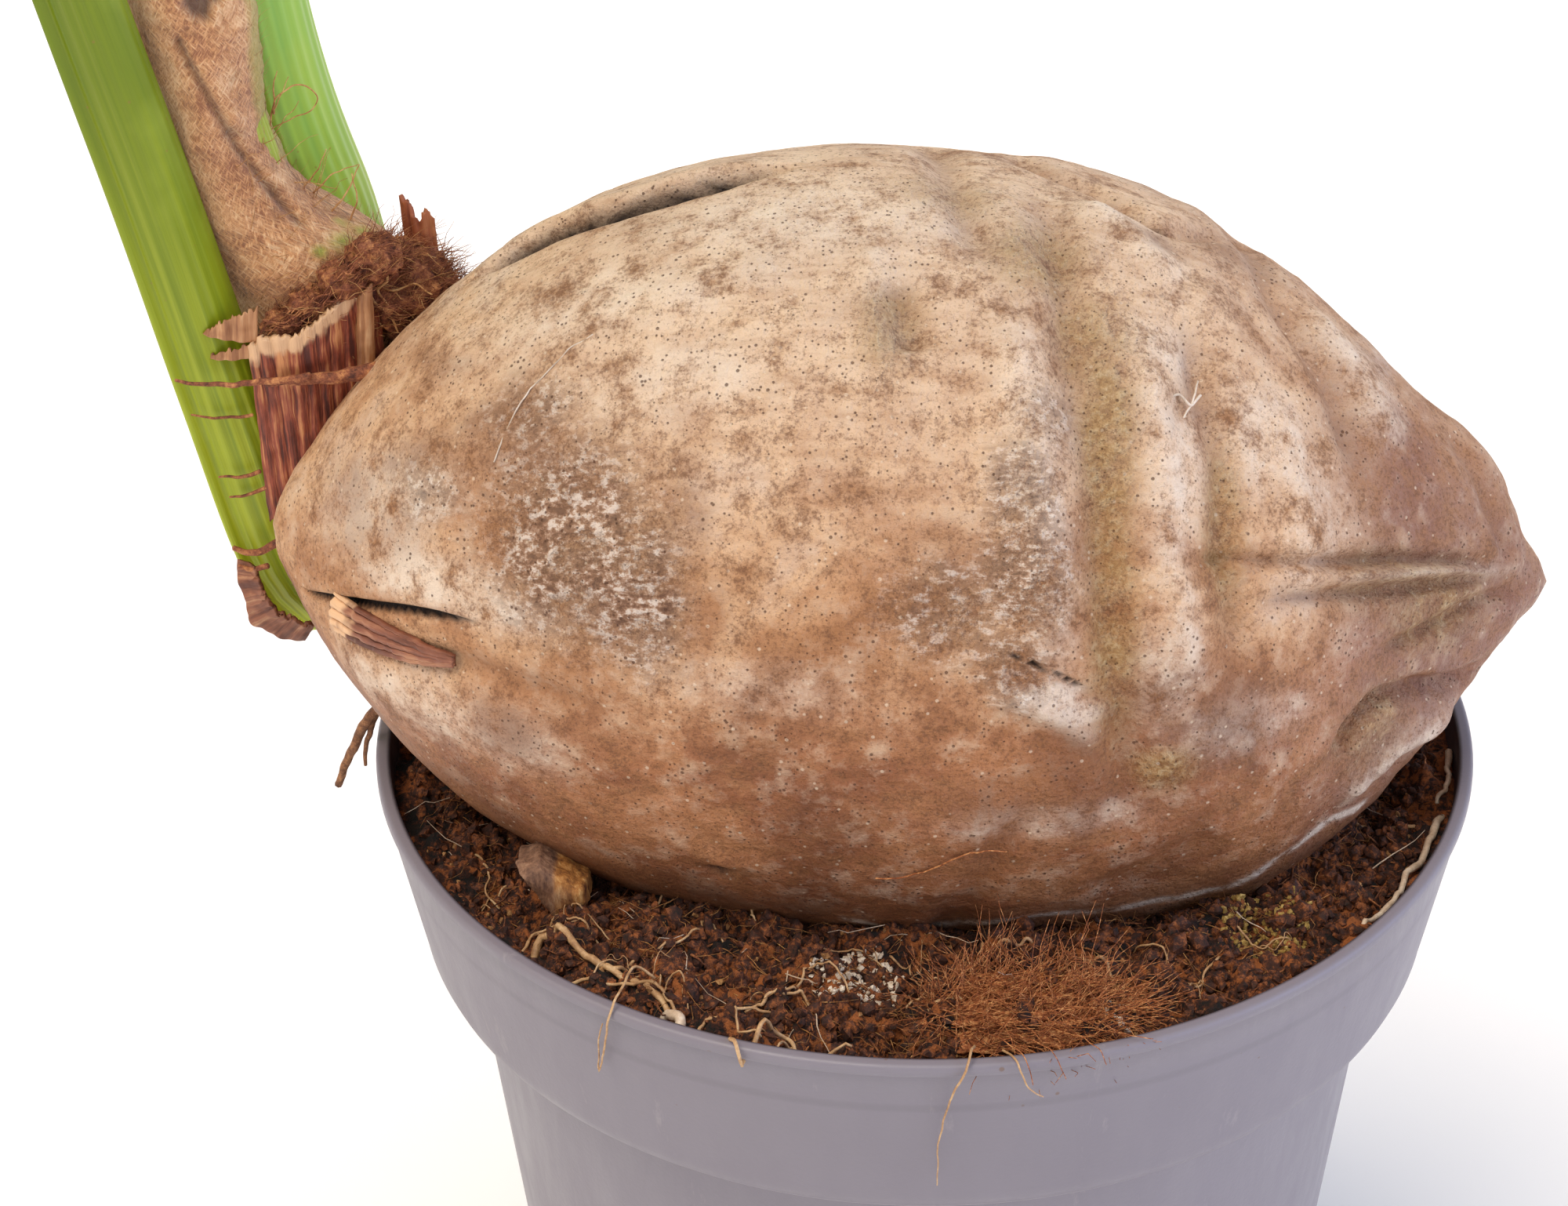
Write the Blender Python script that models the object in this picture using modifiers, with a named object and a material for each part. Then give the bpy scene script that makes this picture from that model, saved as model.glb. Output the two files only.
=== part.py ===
"""Potted coconut palm.

A sprouted, husked coconut lies on potting mix in a round nursery pot.  Its shoot comes out beside
the stalk end, stands on a short curved stem and carries four leaves and an unopened spear.

Metres, +Z up.  The origin is the centre of the pot's underside, and +X runs from the coconut's
stalk end, where the shoot grows, towards its pointed end.
"""

import bisect
import math

import bmesh
import bpy
from mathutils import Vector, noise

OBJECT_NAME = "potted_coconut_palm"

# Fits
CLEAR = 0.0003  # gap between pieces that touch
SNUG = 0.0006  # gap under a thin scale, which leaves room for the facets of what it lies on

# Pot
POT_HEIGHT = 0.190
POT_RIM_RADIUS = 0.105
POT_BASE_RADIUS = 0.0745
POT_WALL = 0.0018
POT_FLOOR = 0.0025
POT_BASE_BEVEL = 0.0020
LIP_WIDTH = 0.0027
LIP_HEIGHT = 0.0020
LIP_PROUD = 0.0009  # how far the lip stands out past the collar
COLLAR_HEIGHT = 0.038
COLLAR_TAPER = 0.0058  # how much narrower the collar is at its foot
COLLAR_STEP = 0.0085  # ledge between the collar's foot and the body
COLLAR_STEP_DROP = 0.0022
DRAIN_COUNT = 8
DRAIN_RADIUS = 0.0055
DRAIN_CIRCLE = 0.056
ROUND_SEGMENTS = 56

# Potting mix
SOIL_DROP = 0.0070  # from the rim down to the mix
SOIL_LUMP = 0.0022
SOIL_LUMP_SIZE = 0.016
SOIL_RINGS = 8

# Coconut, measured from its stalk end to its pointed end
HUSK_LENGTH = 0.2356
HUSK_RADIUS = 0.0739
HUSK_WIDEST = 0.511  # share of the length where it is widest
HUSK_CENTRE_X = -0.0041
HUSK_RIM_GAP = 0.0157  # least height of the husk's underside over the rim, where it passes over it
HUSK_TILT = 0.0117  # how much lower the pointed end is
HUSK_ARCH = 0.0026
HUSK_LOBE = 0.012
HUSK_LOBE_TURN = math.radians(-4)
HUSK_BULGE = 0.0045  # ridge low on the front, near the pointed end
HUSK_BULGE_AT = 0.78
HUSK_BULGE_TURN = math.radians(232)
HUSK_NUB = 0.0030
HUSK_AROUND = 40
HUSK_ALONG = 28

# Stem: a path from inside the husk to the crown, from the middle of the stalk end
STEM_PATH = [
    (0.0319, 0.015, -0.0192), (0.0119, 0.016, -0.0252), (-0.0011, 0.018, -0.0142),
    (-0.0021, 0.020, 0.0048), (0.0029, 0.024, 0.0248), (0.0069, 0.028, 0.0418),
]
STEM_FOOT = 0.0080
STEM_CROWN_WIDE = 0.0170
STEM_CROWN_DEEP = 0.0140

# Splinter along the split in the husk's front: angles in degrees, stations as shares of the length
WEDGE_TURN = 188
WEDGE_SPREAD = 22
WEDGE_FROM = 0.060
WEDGE_TO = 0.150
WEDGE_PINCH = 0.85
WEDGE_THICK = 0.0012

# Husk chip, between its outer, thin end and the end against the coconut
CHIP_FROM_RIM = 0.0385  # in from the rim's left side
CHIP_BEFORE_HUSK = 0.0088
CHIP_ABOVE_MIX = 0.0015
CHIP_LENGTH = 0.020
CHIP_HEIGHTS = (0.006, 0.011)
CHIP_WIDTHS = (0.006, 0.012)
CHIP_SLOPE = 0.006
CHIP_ROUGH = 0.0006

# Roots: the surface root by angle round the rim, distance in from it and depth below the mix
ROOT_RADIUS = 0.0016
SURFACE_ROOT = [(220, 0.0131, 0.0002), (231, 0.0132, -0.0010), (243, 0.0106, 0.0002)]
ROOT_STUB_FROM_RIM = [
    (0.0080, -0.0120, 0.0160), (0.0, -0.0090, 0.0060), (-0.0045, -0.0070, -0.0030),
    (-0.0085, -0.0050, -0.0130),
]

# Coir tuft: half its length along the rim, half its width across it, half its height
TUFT_ANGLE = -78
TUFT_FROM_LIP = 0.0125
TUFT_ABOVE_MIX = 0.0030
TUFT_HALF = (0.0170, 0.0100, 0.0042)
TUFT_ROUGH = 0.08

# Leaves
STALK_WIDE = 0.0083  # half width of the two outer leaf stalks
STALK_DEEP = 0.0065
INNER_STALK = 0.0037  # half width of the stalks inside the sheath
BLADE_THICK = 0.0012
BLADE_FOLDS = 6  # strips in half a blade
PLEAT_DEPTH = 0.0018
LEAF_STATIONS = 20

# Fringe of fibre beside the crown, and the pointed scale that stands in it
FRINGE_FROM_CROWN = Vector((0.0037, 0.0025, -0.0090))
FRINGE_HALF = Vector((0.0085, 0.0100, 0.0155))
FRINGE_LEAN = 0.004
UPRIGHT_SCALE_FROM_FRINGE = Vector((0.0008, -0.0005, 0.0180))
UPRIGHT_SCALE_FOOT = 0.0032
UPRIGHT_SCALE_TIP = 0.0004
UPRIGHT_SCALE_HEIGHT = 0.020
UPRIGHT_SCALE_LEAN = 0.15
UPRIGHT_SCALE_FLAT = 0.35  # its depth over its width

# Paths of the leaves, from the middle of the stalk end; an inner leaf starts inside the sheath
LEAF_1_PATH = [
    (-0.0016, 0.013, -0.0092), (-0.0096, 0.013, 0.0228), (-0.0216, 0.012, 0.0808),
    (-0.0461, 0.006, 0.1968), (-0.0831, -0.012, 0.3368), (-0.1431, -0.045, 0.4768),
    (-0.2431, -0.095, 0.5668), (-0.3581, -0.150, 0.5568),
]
LEAF_2_PATH = [
    (0.0129, 0.037, 0.0328), (0.0104, 0.038, 0.0458), (0.0009, 0.038, 0.0888),
    (-0.0121, 0.050, 0.1968), (-0.0031, 0.085, 0.3468), (0.0419, 0.140, 0.4968),
    (0.1169, 0.205, 0.5968), (0.2169, 0.275, 0.5968),
]
LEAF_3_ONWARD = [
    (-0.0561, 0.050, 0.2868), (-0.1031, 0.105, 0.4468), (-0.1681, 0.185, 0.5768),
    (-0.2531, 0.280, 0.6268), (-0.3431, 0.370, 0.5868),
]
LEAF_4_ONWARD = [
    (-0.0381, 0.008, 0.2868), (-0.0281, -0.020, 0.4468), (0.0169, -0.065, 0.5968),
    (0.0919, -0.130, 0.6968), (0.1869, -0.200, 0.7268),
]
SPEAR_ONWARD = [
    (-0.0501, 0.020, 0.2868), (-0.0641, 0.018, 0.4668), (-0.0701, 0.016, 0.6468),
    (-0.0681, 0.014, 0.8168),
]

# Fibre sheath round the inner stalks
SHEATH_PATH = [
    (0.0024, 0.025, 0.0348), (-0.0001, 0.025, 0.0458), (-0.0111, 0.024, 0.0948), (-0.0271, 0.023, 0.1668),
]
SHEATH_WIDE = 0.0110
SHEATH_DEEP = 0.0100
SHEATH_WALL = 0.0008

COLOURS = {
    "pot_plastic": (0.30, 0.29, 0.31, 0.45),
    "potting_mix": (0.035, 0.018, 0.010, 0.95),
    "husk": (0.30, 0.17, 0.10, 0.80),
    "stem_green": (0.33, 0.42, 0.08, 0.50),
    "leaf_green": (0.20, 0.40, 0.05, 0.45),
    "sheath_fibre": (0.27, 0.14, 0.07, 0.90),
    "scale_brown": (0.18, 0.08, 0.04, 0.75),
    "root_tan": (0.45, 0.27, 0.11, 0.80),
}


# ---------------------------------------------------------------- tools

def make_collection(name):
    collection = bpy.data.collections.new(name)
    bpy.context.scene.collection.children.link(collection)
    return collection


def make_material(name, red, green, blue, roughness):
    material = bpy.data.materials.new(name)
    material.use_nodes = True
    shader = material.node_tree.nodes["Principled BSDF"]
    shader.inputs["Base Color"].default_value = (red, green, blue, 1.0)
    shader.inputs["Roughness"].default_value = roughness
    shader.inputs["Metallic"].default_value = 0.0
    return material


def place(name, mesh, material_name):
    """Make the mesh a part, with its material and smooth shading on its rounded faces."""
    obj = bpy.data.objects.new(name, mesh)
    parts.objects.link(obj)
    mesh.materials.append(materials[material_name])
    mesh.shade_smooth()
    mesh.set_sharp_from_angle(angle=math.radians(40))
    return obj


def finish_mesh(shape, name):
    """Turn the closed shape's faces outwards and make it a mesh."""
    bmesh.ops.recalc_face_normals(shape, faces=shape.faces)
    if shape.calc_volume(signed=True) < 0:
        bmesh.ops.reverse_faces(shape, faces=shape.faces)
    mesh = bpy.data.meshes.new(name)
    shape.to_mesh(mesh)
    shape.free()
    return mesh


def grown(obj, amount):
    """A cutter: the object's own mesh, moved outwards along its normals."""
    mesh = obj.data.copy()
    shape = bmesh.new()
    shape.from_mesh(mesh)
    shape.normal_update()
    moves = [vertex.normal * amount for vertex in shape.verts]
    for vertex, move in zip(shape.verts, moves):
        vertex.co += move
    shape.to_mesh(mesh)
    shape.free()
    cutter = bpy.data.objects.new(obj.name + "_room", mesh)
    cutter.matrix_world = obj.matrix_world
    cutter.hide_render = True
    cutter.display_type = "WIRE"
    cutters.objects.link(cutter)
    return cutter


def cut(obj, *tools):
    for tool in tools:
        modifier = obj.modifiers.new("cut_" + tool.name, "BOOLEAN")
        modifier.operation = "DIFFERENCE"
        modifier.solver = "EXACT"
        modifier.object = tool


def solidify(obj, thickness):
    modifier = obj.modifiers.new("thickness", "SOLIDIFY")
    modifier.thickness = thickness
    modifier.offset = 1.0
    modifier.use_even_offset = True


class Route:
    """A smooth curve through points (Catmull-Rom), read by shares of its length."""

    def __init__(self, points, samples=240):
        self.points = [Vector(point) for point in points]
        self.table = [self.curve_point(index / samples) for index in range(samples + 1)]
        self.reached = [0.0]
        for start, end in zip(self.table, self.table[1:]):
            self.reached.append(self.reached[-1] + (end - start).length)

    def curve_point(self, share):
        spans = len(self.points) - 1
        span = min(int(share * spans), spans - 1)
        t = share * spans - span
        start, end = self.points[span], self.points[span + 1]
        before = self.points[span - 1] if span > 0 else start * 2 - end
        after = self.points[span + 2] if span + 2 <= spans else end * 2 - start
        leave = (end - before) / 2
        arrive = (after - start) / 2
        return (start * (2 * t**3 - 3 * t**2 + 1) + leave * (t**3 - 2 * t**2 + t)
                + end * (3 * t**2 - 2 * t**3) + arrive * (t**3 - t**2))

    def at(self, share):
        goal = min(max(share, 0.0), 1.0) * self.reached[-1]
        index = min(max(bisect.bisect_right(self.reached, goal), 1), len(self.table) - 1)
        low, high = self.reached[index - 1], self.reached[index]
        return self.table[index - 1].lerp(self.table[index], (goal - low) / (high - low))

    def direction(self, share):
        step = 0.01
        low, high = max(share - step, 0.0), min(share + step, 1.0)
        return (self.at(high) - self.at(low)).normalized()


def ease(value):
    value = min(max(value, 0.0), 1.0)
    return value * value * (3 - 2 * value)


def mix(a, b, share):
    return a + (b - a) * share


def loft(name, rings):
    """A closed solid through rings of equally many points, with flat ends."""
    shape = bmesh.new()
    rows = [[shape.verts.new(point) for point in ring] for ring in rings]
    for row, following in zip(rows, rows[1:]):
        for index in range(len(row)):
            after = (index + 1) % len(row)
            shape.faces.new((row[index], row[after], following[after], following[index]))
    shape.faces.new(list(reversed(rows[0])))
    shape.faces.new(rows[-1])
    return finish_mesh(shape, name)


def sheet(name, point_at, columns, rows):
    """An open sheet: point_at(across, along) for shares from 0 to 1."""
    shape = bmesh.new()
    grid = [[shape.verts.new(point_at(column / columns, row / rows)) for column in range(columns + 1)]
            for row in range(rows + 1)]
    for row in range(rows):
        for column in range(columns):
            shape.faces.new((grid[row][column], grid[row][column + 1],
                             grid[row + 1][column + 1], grid[row + 1][column]))
    mesh = bpy.data.meshes.new(name)
    shape.to_mesh(mesh)
    shape.free()
    return mesh


def rod(name, points, radius, material_name, steps=10):
    """A round rod along a smooth path, as a mesh with welded ends."""
    curve = bpy.data.curves.new(name, "CURVE")
    curve.dimensions = "3D"
    curve.bevel_depth = radius
    curve.bevel_resolution = 2
    curve.use_fill_caps = True
    spline = curve.splines.new("POLY")
    spline.points.add(steps)
    route = Route(points)
    for index in range(steps + 1):
        spline.points[index].co = (*route.at(index / steps), 1.0)
    source = bpy.data.objects.new(name + "_curve", curve)
    bpy.context.scene.collection.objects.link(source)
    evaluated = source.evaluated_get(bpy.context.evaluated_depsgraph_get())
    mesh = bpy.data.meshes.new_from_object(evaluated)
    bpy.data.objects.remove(source)
    shape = bmesh.new()
    shape.from_mesh(mesh)
    bmesh.ops.remove_doubles(shape, verts=shape.verts, dist=0.00001)
    bpy.data.meshes.remove(mesh)
    return place(name, finish_mesh(shape, name), material_name)


# ---------------------------------------------------------------- pot

def pot_wall_outside():
    """Radius and height down the pot's outside, from under the lip to the base."""
    collar_top = POT_RIM_RADIUS - LIP_PROUD
    collar_foot = collar_top - COLLAR_TAPER
    step_height = POT_HEIGHT - COLLAR_HEIGHT
    return [
        (collar_top, POT_HEIGHT - LIP_HEIGHT - LIP_PROUD),
        (collar_foot, step_height + COLLAR_STEP_DROP),
        (collar_foot - COLLAR_STEP_DROP / 2, step_height),
        (collar_foot - COLLAR_STEP, step_height - COLLAR_STEP_DROP),
        (POT_BASE_RADIUS, POT_BASE_BEVEL),
    ]


def pot_wall_inside():
    """Radius and height up the pot's inside, from the floor to the lip."""
    inside = [(radius - POT_WALL, height) for radius, height in pot_wall_outside()[:-1]]
    inside[0] = (POT_RIM_RADIUS - LIP_WIDTH, POT_HEIGHT)
    inside.append((POT_BASE_RADIUS - POT_WALL, POT_FLOOR))
    return inside[::-1]


def make_pot():
    round_off = LIP_HEIGHT / 4
    profile = [(0.0, POT_FLOOR)]
    profile += pot_wall_inside()
    profile += [
        (POT_RIM_RADIUS - round_off, POT_HEIGHT),
        (POT_RIM_RADIUS, POT_HEIGHT - round_off),
        (POT_RIM_RADIUS, POT_HEIGHT - LIP_HEIGHT),
    ]
    profile += pot_wall_outside()
    profile += [(POT_BASE_RADIUS - POT_BASE_BEVEL, 0.0), (0.0, 0.0)]
    shape = bmesh.new()
    points = [shape.verts.new((radius, 0.0, height)) for radius, height in profile]
    for point, following in zip(points, points[1:]):
        shape.edges.new((point, following))
    mesh = bpy.data.meshes.new("plant_pot")
    shape.to_mesh(mesh)
    shape.free()
    pot = place("plant_pot", mesh, "pot_plastic")
    turn = pot.modifiers.new("turn", "SCREW")
    turn.axis = "Z"
    turn.angle = math.tau
    turn.steps = ROUND_SEGMENTS
    turn.render_steps = ROUND_SEGMENTS
    turn.use_merge_vertices = True
    turn.merge_threshold = 0.0001

    shape = bmesh.new()
    for index in range(DRAIN_COUNT):
        angle = math.tau * (index + 0.5) / DRAIN_COUNT
        drill = bmesh.ops.create_cone(shape, cap_ends=True, segments=12, radius1=DRAIN_RADIUS,
                                      radius2=DRAIN_RADIUS, depth=4 * POT_FLOOR)
        bmesh.ops.translate(shape, verts=drill["verts"],
                            vec=(DRAIN_CIRCLE * math.cos(angle), DRAIN_CIRCLE * math.sin(angle), 0.0))
    mesh = finish_mesh(shape, "drain_drills")
    drills = bpy.data.objects.new("drain_drills", mesh)
    drills.hide_render = True
    drills.display_type = "WIRE"
    cutters.objects.link(drills)
    cut(pot, drills)
    return pot


# ---------------------------------------------------------------- potting mix

def soil_height(x, y):
    lumps = noise.noise(Vector((x, y, 0.0)) / SOIL_LUMP_SIZE)
    return POT_HEIGHT - SOIL_DROP + SOIL_LUMP * lumps


def make_soil():
    wall = [(radius - CLEAR, height + CLEAR) for radius, height in pot_wall_inside()[:-1]]
    brim_radius = wall[-1][0]
    shape = bmesh.new()
    top_rings = []
    for ring in range(1, SOIL_RINGS + 1):
        radius = brim_radius * ring / SOIL_RINGS
        top_rings.append(soil_ring(shape, radius, None))
    side_rings = [soil_ring(shape, radius, height) for radius, height in reversed(wall[:-1])]
    rings = top_rings + side_rings
    for ring, following in zip(rings, rings[1:]):
        for index in range(ROUND_SEGMENTS):
            after = (index + 1) % ROUND_SEGMENTS
            shape.faces.new((ring[index], ring[after], following[after], following[index]))
    crown = shape.verts.new((0.0, 0.0, soil_height(0.0, 0.0)))
    for index in range(ROUND_SEGMENTS):
        shape.faces.new((crown, rings[0][index], rings[0][(index + 1) % ROUND_SEGMENTS]))
    shape.faces.new(rings[-1])
    return place("potting_mix", finish_mesh(shape, "potting_mix"), "potting_mix")


def soil_ring(shape, radius, height):
    """One ring of points; without a height it lies on the lumpy top."""
    ring = []
    for index in range(ROUND_SEGMENTS):
        angle = math.tau * index / ROUND_SEGMENTS
        x, y = radius * math.cos(angle), radius * math.sin(angle)
        ring.append(shape.verts.new((x, y, soil_height(x, y) if height is None else height)))
    return ring


# ---------------------------------------------------------------- coconut

def husk_radius(along):
    if along < HUSK_WIDEST:
        reach = (HUSK_WIDEST - along) / HUSK_WIDEST
        power = 0.46 + 0.325 * reach
    else:
        reach = (along - HUSK_WIDEST) / (1 - HUSK_WIDEST)
        power = 0.50 + 0.385 * reach
    return HUSK_RADIUS * max(1 - reach * reach, 0.0) ** power


def husk_stalk_end():
    """The middle of the stalk end: high enough for both ends of the husk to pass over the rim."""
    stalk_x = HUSK_CENTRE_X - HUSK_LENGTH / 2
    lift = 0.0
    for rim_x in (-POT_RIM_RADIUS, POT_RIM_RADIUS):
        along = min(max((rim_x - stalk_x) / HUSK_LENGTH, 0.0), 1.0)
        lift = max(lift, husk_radius(along) + HUSK_RIM_GAP - husk_rise(along))
    return Vector((stalk_x, 0.0, POT_HEIGHT + lift))


def husk_rise(along):
    """Height of the husk's axis over the stalk end."""
    return 4 * HUSK_ARCH * along * (1 - along) - HUSK_TILT * along


def husk_axis(along):
    return stalk_end + Vector((HUSK_LENGTH * along, 0.0, husk_rise(along)))


def husk_front(x, height):
    """Where, in Y, the husk's front meets a level: the line along which it sinks into the mix."""
    along = (x - stalk_end.x) / HUSK_LENGTH
    below = husk_axis(along).z - height
    return -math.sqrt(max(husk_radius(along) ** 2 - below ** 2, 0.0))


def husk_point(along, turn):
    """A point of the husk; turn 0 faces back (+Y), a quarter faces up, a half faces the front."""
    radius = husk_radius(along) * (1 + HUSK_LOBE * math.cos(3 * (turn - HUSK_LOBE_TURN)))
    near = math.exp(-(((along - HUSK_BULGE_AT) / 0.10) ** 2))
    facing = max(math.cos(turn - HUSK_BULGE_TURN), 0.0) ** 3
    radius += HUSK_BULGE * near * facing
    return husk_axis(along) + Vector((0.0, radius * math.cos(turn), radius * math.sin(turn)))


def make_husk():
    shape = bmesh.new()
    bmesh.ops.create_uvsphere(shape, u_segments=HUSK_AROUND, v_segments=HUSK_ALONG, radius=1.0)
    for vertex in shape.verts:
        along = (vertex.co.z + 1) / 2
        turn = math.atan2(vertex.co.y, vertex.co.x)
        vertex.co = husk_point(along, turn)
        if along > 0.99999:
            vertex.co.x += HUSK_NUB
    return place("coconut", finish_mesh(shape, "coconut"), "husk")


# ---------------------------------------------------------------- shoot

def stem_half_widths(share):
    swell = ease((share - 0.45) / 0.55)
    return mix(STEM_FOOT, STEM_CROWN_WIDE, swell), mix(STEM_FOOT, STEM_CROWN_DEEP, swell)


def stem_point(share, turn, gap=0.0):
    """A point on the stem; half a turn is its outer, lower side and three quarters its front."""
    direction = stem_route.direction(share)
    inward = Vector((0.0, 1.0, 0.0)).cross(direction).normalized()
    back = direction.cross(inward)
    wide, deep = stem_half_widths(share)
    return (stem_route.at(share) + inward * (wide + gap) * math.cos(turn)
            + back * (deep + gap) * math.sin(turn))


def make_stem():
    stations, around = 13, 16
    rings = [[stem_point(row / stations, math.tau * column / around) for column in range(around)]
             for row in range(stations + 1)]
    return place("shoot_stem", loft("shoot_stem", rings), "stem_green")


def leaf_ring(route, side_hint, station, design):
    """The section of a leaf at one station: a rounded stalk that spreads into a pleated blade."""
    blade_share = (station - design["stalk"]) / (1 - design["stalk"])
    opening = ease(blade_share * 5)
    widening = math.sin(math.pi * min(max(blade_share, 0.0) ** 0.8, 1.0) * 0.62) / math.sin(math.pi * 0.62)
    taper = 1 - 0.32 * ease((blade_share - 0.55) / 0.45)
    half_blade = design["half_width"] * widening * taper
    half_stalk = mix(design["foot"], design["wide"], ease((station / design["stalk"] - 0.4) / 0.6))
    depth = design["deep"] * (1 - 0.75 * ease(blade_share * 1.2))
    half_wide = max(half_stalk * (1 - 0.6 * opening), half_blade * opening)
    top, bottom = [], []
    for column in range(-BLADE_FOLDS, BLADE_FOLDS + 1):
        across = column / BLADE_FOLDS
        lobe = math.sin(math.pi * (0.05 + 0.80 * abs(across))) if across else 0.0
        reach = max(blade_share, 0.0) ** 3 * design["notch"] * (lobe - 1)
        place_share = min(station + reach * (1 - design["stalk"]), 1.0)
        centre = route.at(place_share)
        direction = route.direction(place_share)
        side = (side_hint - direction * side_hint.dot(direction)).normalized()
        face = direction.cross(side)
        bow = math.cos(across * math.pi / 2)
        pleat = PLEAT_DEPTH * opening * (1 if column % 2 else -1) * min(half_wide / 0.03, 1.0)
        droop = -half_wide * design["droop"] * abs(across) ** 1.5 * opening
        stalk_top = depth * 0.55 * bow + BLADE_THICK / 2
        stalk_bottom = -depth * bow - BLADE_THICK / 2
        rib = depth * 0.35 * opening * max(1 - abs(across) * BLADE_FOLDS, 0.0)
        blade_top = droop + pleat + BLADE_THICK / 2
        blade_bottom = droop + pleat - BLADE_THICK / 2 - rib
        sideways = mix(math.sin(across * math.pi / 2), across, opening) * half_wide
        top.append(centre + side * sideways + face * mix(stalk_top, blade_top, opening))
        bottom.append(centre + side * sideways + face * mix(stalk_bottom, blade_bottom, opening))
    return top + bottom[::-1]


def make_leaf(name, path, heading, stalk, half_width, wide, deep, foot, notch=0.26, droop=0.20):
    """A leaf along the path, which arches towards the heading (degrees from +X)."""
    design = {"stalk": stalk, "half_width": half_width, "wide": wide, "deep": deep, "foot": foot,
              "notch": notch, "droop": droop}
    angle = math.radians(heading)
    side_hint = Vector((-math.sin(angle), math.cos(angle), 0.0))
    route = Route(path)
    rings = [leaf_ring(route, side_hint, row / LEAF_STATIONS, design) for row in range(LEAF_STATIONS + 1)]
    return place(name, loft(name, rings), "leaf_green")


def from_stalk_end(points):
    return [stalk_end + Vector(point) for point in points]


def inner_path(right, back, onward):
    """A path up through the fibre sheath, beside its axis, and on through its own points."""
    offset = Vector((right, back, 0.0))
    return [point + offset for point in from_stalk_end(SHEATH_PATH)] + from_stalk_end(onward)


def make_spear(path):
    stations, around = 20, 10
    route = Route(path)
    rings = []
    for row in range(stations + 1):
        share = row / stations
        direction = route.direction(share)
        side = Vector((0.0, 1.0, 0.0)).cross(direction).normalized()
        face = direction.cross(side)
        swell = math.sin(math.pi * ease((share - 0.35) / 0.65)) * 0.0022
        radius = (INNER_STALK - 0.0002 + swell) * (1 - 0.86 * ease((share - 0.62) / 0.38))
        centre = route.at(share)
        rings.append([centre + side * radius * math.cos(math.tau * step / around)
                      + face * radius * 0.85 * math.sin(math.tau * step / around) for step in range(around)])
    return place("spear_leaf", loft("spear_leaf", rings), "leaf_green")


def sheath_point(across, along):
    direction = sheath_route.direction(along)
    side = Vector((0.0, 1.0, 0.0)).cross(direction).normalized()
    back = direction.cross(side)
    turn = math.tau * across
    spread = 1 + 0.06 * ease((along - 0.8) / 0.2)
    return (sheath_route.at(along) + side * SHEATH_WIDE * spread * math.cos(turn)
            + back * SHEATH_DEEP * spread * math.sin(turn))


def make_sheath():
    around, rows = 20, 9
    shape = bmesh.new()
    grid = []
    for row in range(rows + 1):
        ring = []
        for column in range(around):
            point = sheath_point(column / around, row / rows)
            if row == rows:
                point.z += 0.006 * math.sin(5 * math.tau * column / around)
            ring.append(shape.verts.new(point))
        grid.append(ring)
    for ring, following in zip(grid, grid[1:]):
        for index in range(around):
            after = (index + 1) % around
            shape.faces.new((ring[index], ring[after], following[after], following[index]))
    mesh = bpy.data.meshes.new("fibre_sheath")
    shape.to_mesh(mesh)
    shape.free()
    sheath = place("fibre_sheath", mesh, "sheath_fibre")
    modifier = sheath.modifiers.new("thickness", "SOLIDIFY")
    modifier.thickness = SHEATH_WALL
    modifier.offset = -1.0
    return sheath


def stem_scale(name, share_from, share_to, turn_from, turn_to, flare, thickness, lift=0.0):
    """A scale that hugs the stem between two shares of its length and two angles, in degrees."""
    def point_at(across, along):
        top = share_to + lift * across
        share = mix(share_from, top, along)
        turn = math.radians(mix(turn_from, turn_to, across))
        return stem_point(min(share, 1.0), turn, SNUG + flare * ease(along)) \
            + stem_route.direction(1.0) * max(share - 1.0, 0.0) * 0.08

    scale = place(name, sheet(name, point_at, 8, 5), "scale_brown")
    solidify(scale, thickness)
    return scale


def fringe_centre():
    return stem_route.at(1.0) + Vector((STEM_CROWN_WIDE, 0.0, 0.0)) + FRINGE_FROM_CROWN


def make_fringe():
    shape = bmesh.new()
    bmesh.ops.create_uvsphere(shape, u_segments=12, v_segments=8, radius=1.0)
    for vertex in shape.verts:
        rough = 1 + 0.10 * noise.noise(vertex.co * 2.5)
        bulk = Vector((FRINGE_HALF.x * vertex.co.x + FRINGE_LEAN * vertex.co.z,
                       FRINGE_HALF.y * vertex.co.y, FRINGE_HALF.z * vertex.co.z))
        vertex.co = fringe_centre() + bulk * rough
    return place("fibre_fringe", finish_mesh(shape, "fibre_fringe"), "scale_brown")


def make_upright_scale():
    """A pointed scale that stands in the fibre fringe."""
    shape = bmesh.new()
    bmesh.ops.create_cone(shape, cap_ends=True, segments=10, radius1=UPRIGHT_SCALE_FOOT,
                          radius2=UPRIGHT_SCALE_TIP, depth=UPRIGHT_SCALE_HEIGHT)
    middle = fringe_centre() + UPRIGHT_SCALE_FROM_FRINGE
    for vertex in shape.verts:
        leaning = UPRIGHT_SCALE_LEAN * vertex.co.z
        vertex.co = middle + Vector((vertex.co.x + leaning, vertex.co.y * UPRIGHT_SCALE_FLAT, vertex.co.z))
    return place("upright_scale", finish_mesh(shape, "upright_scale"), "scale_brown")


# ---------------------------------------------------------------- small pieces round the husk

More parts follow.
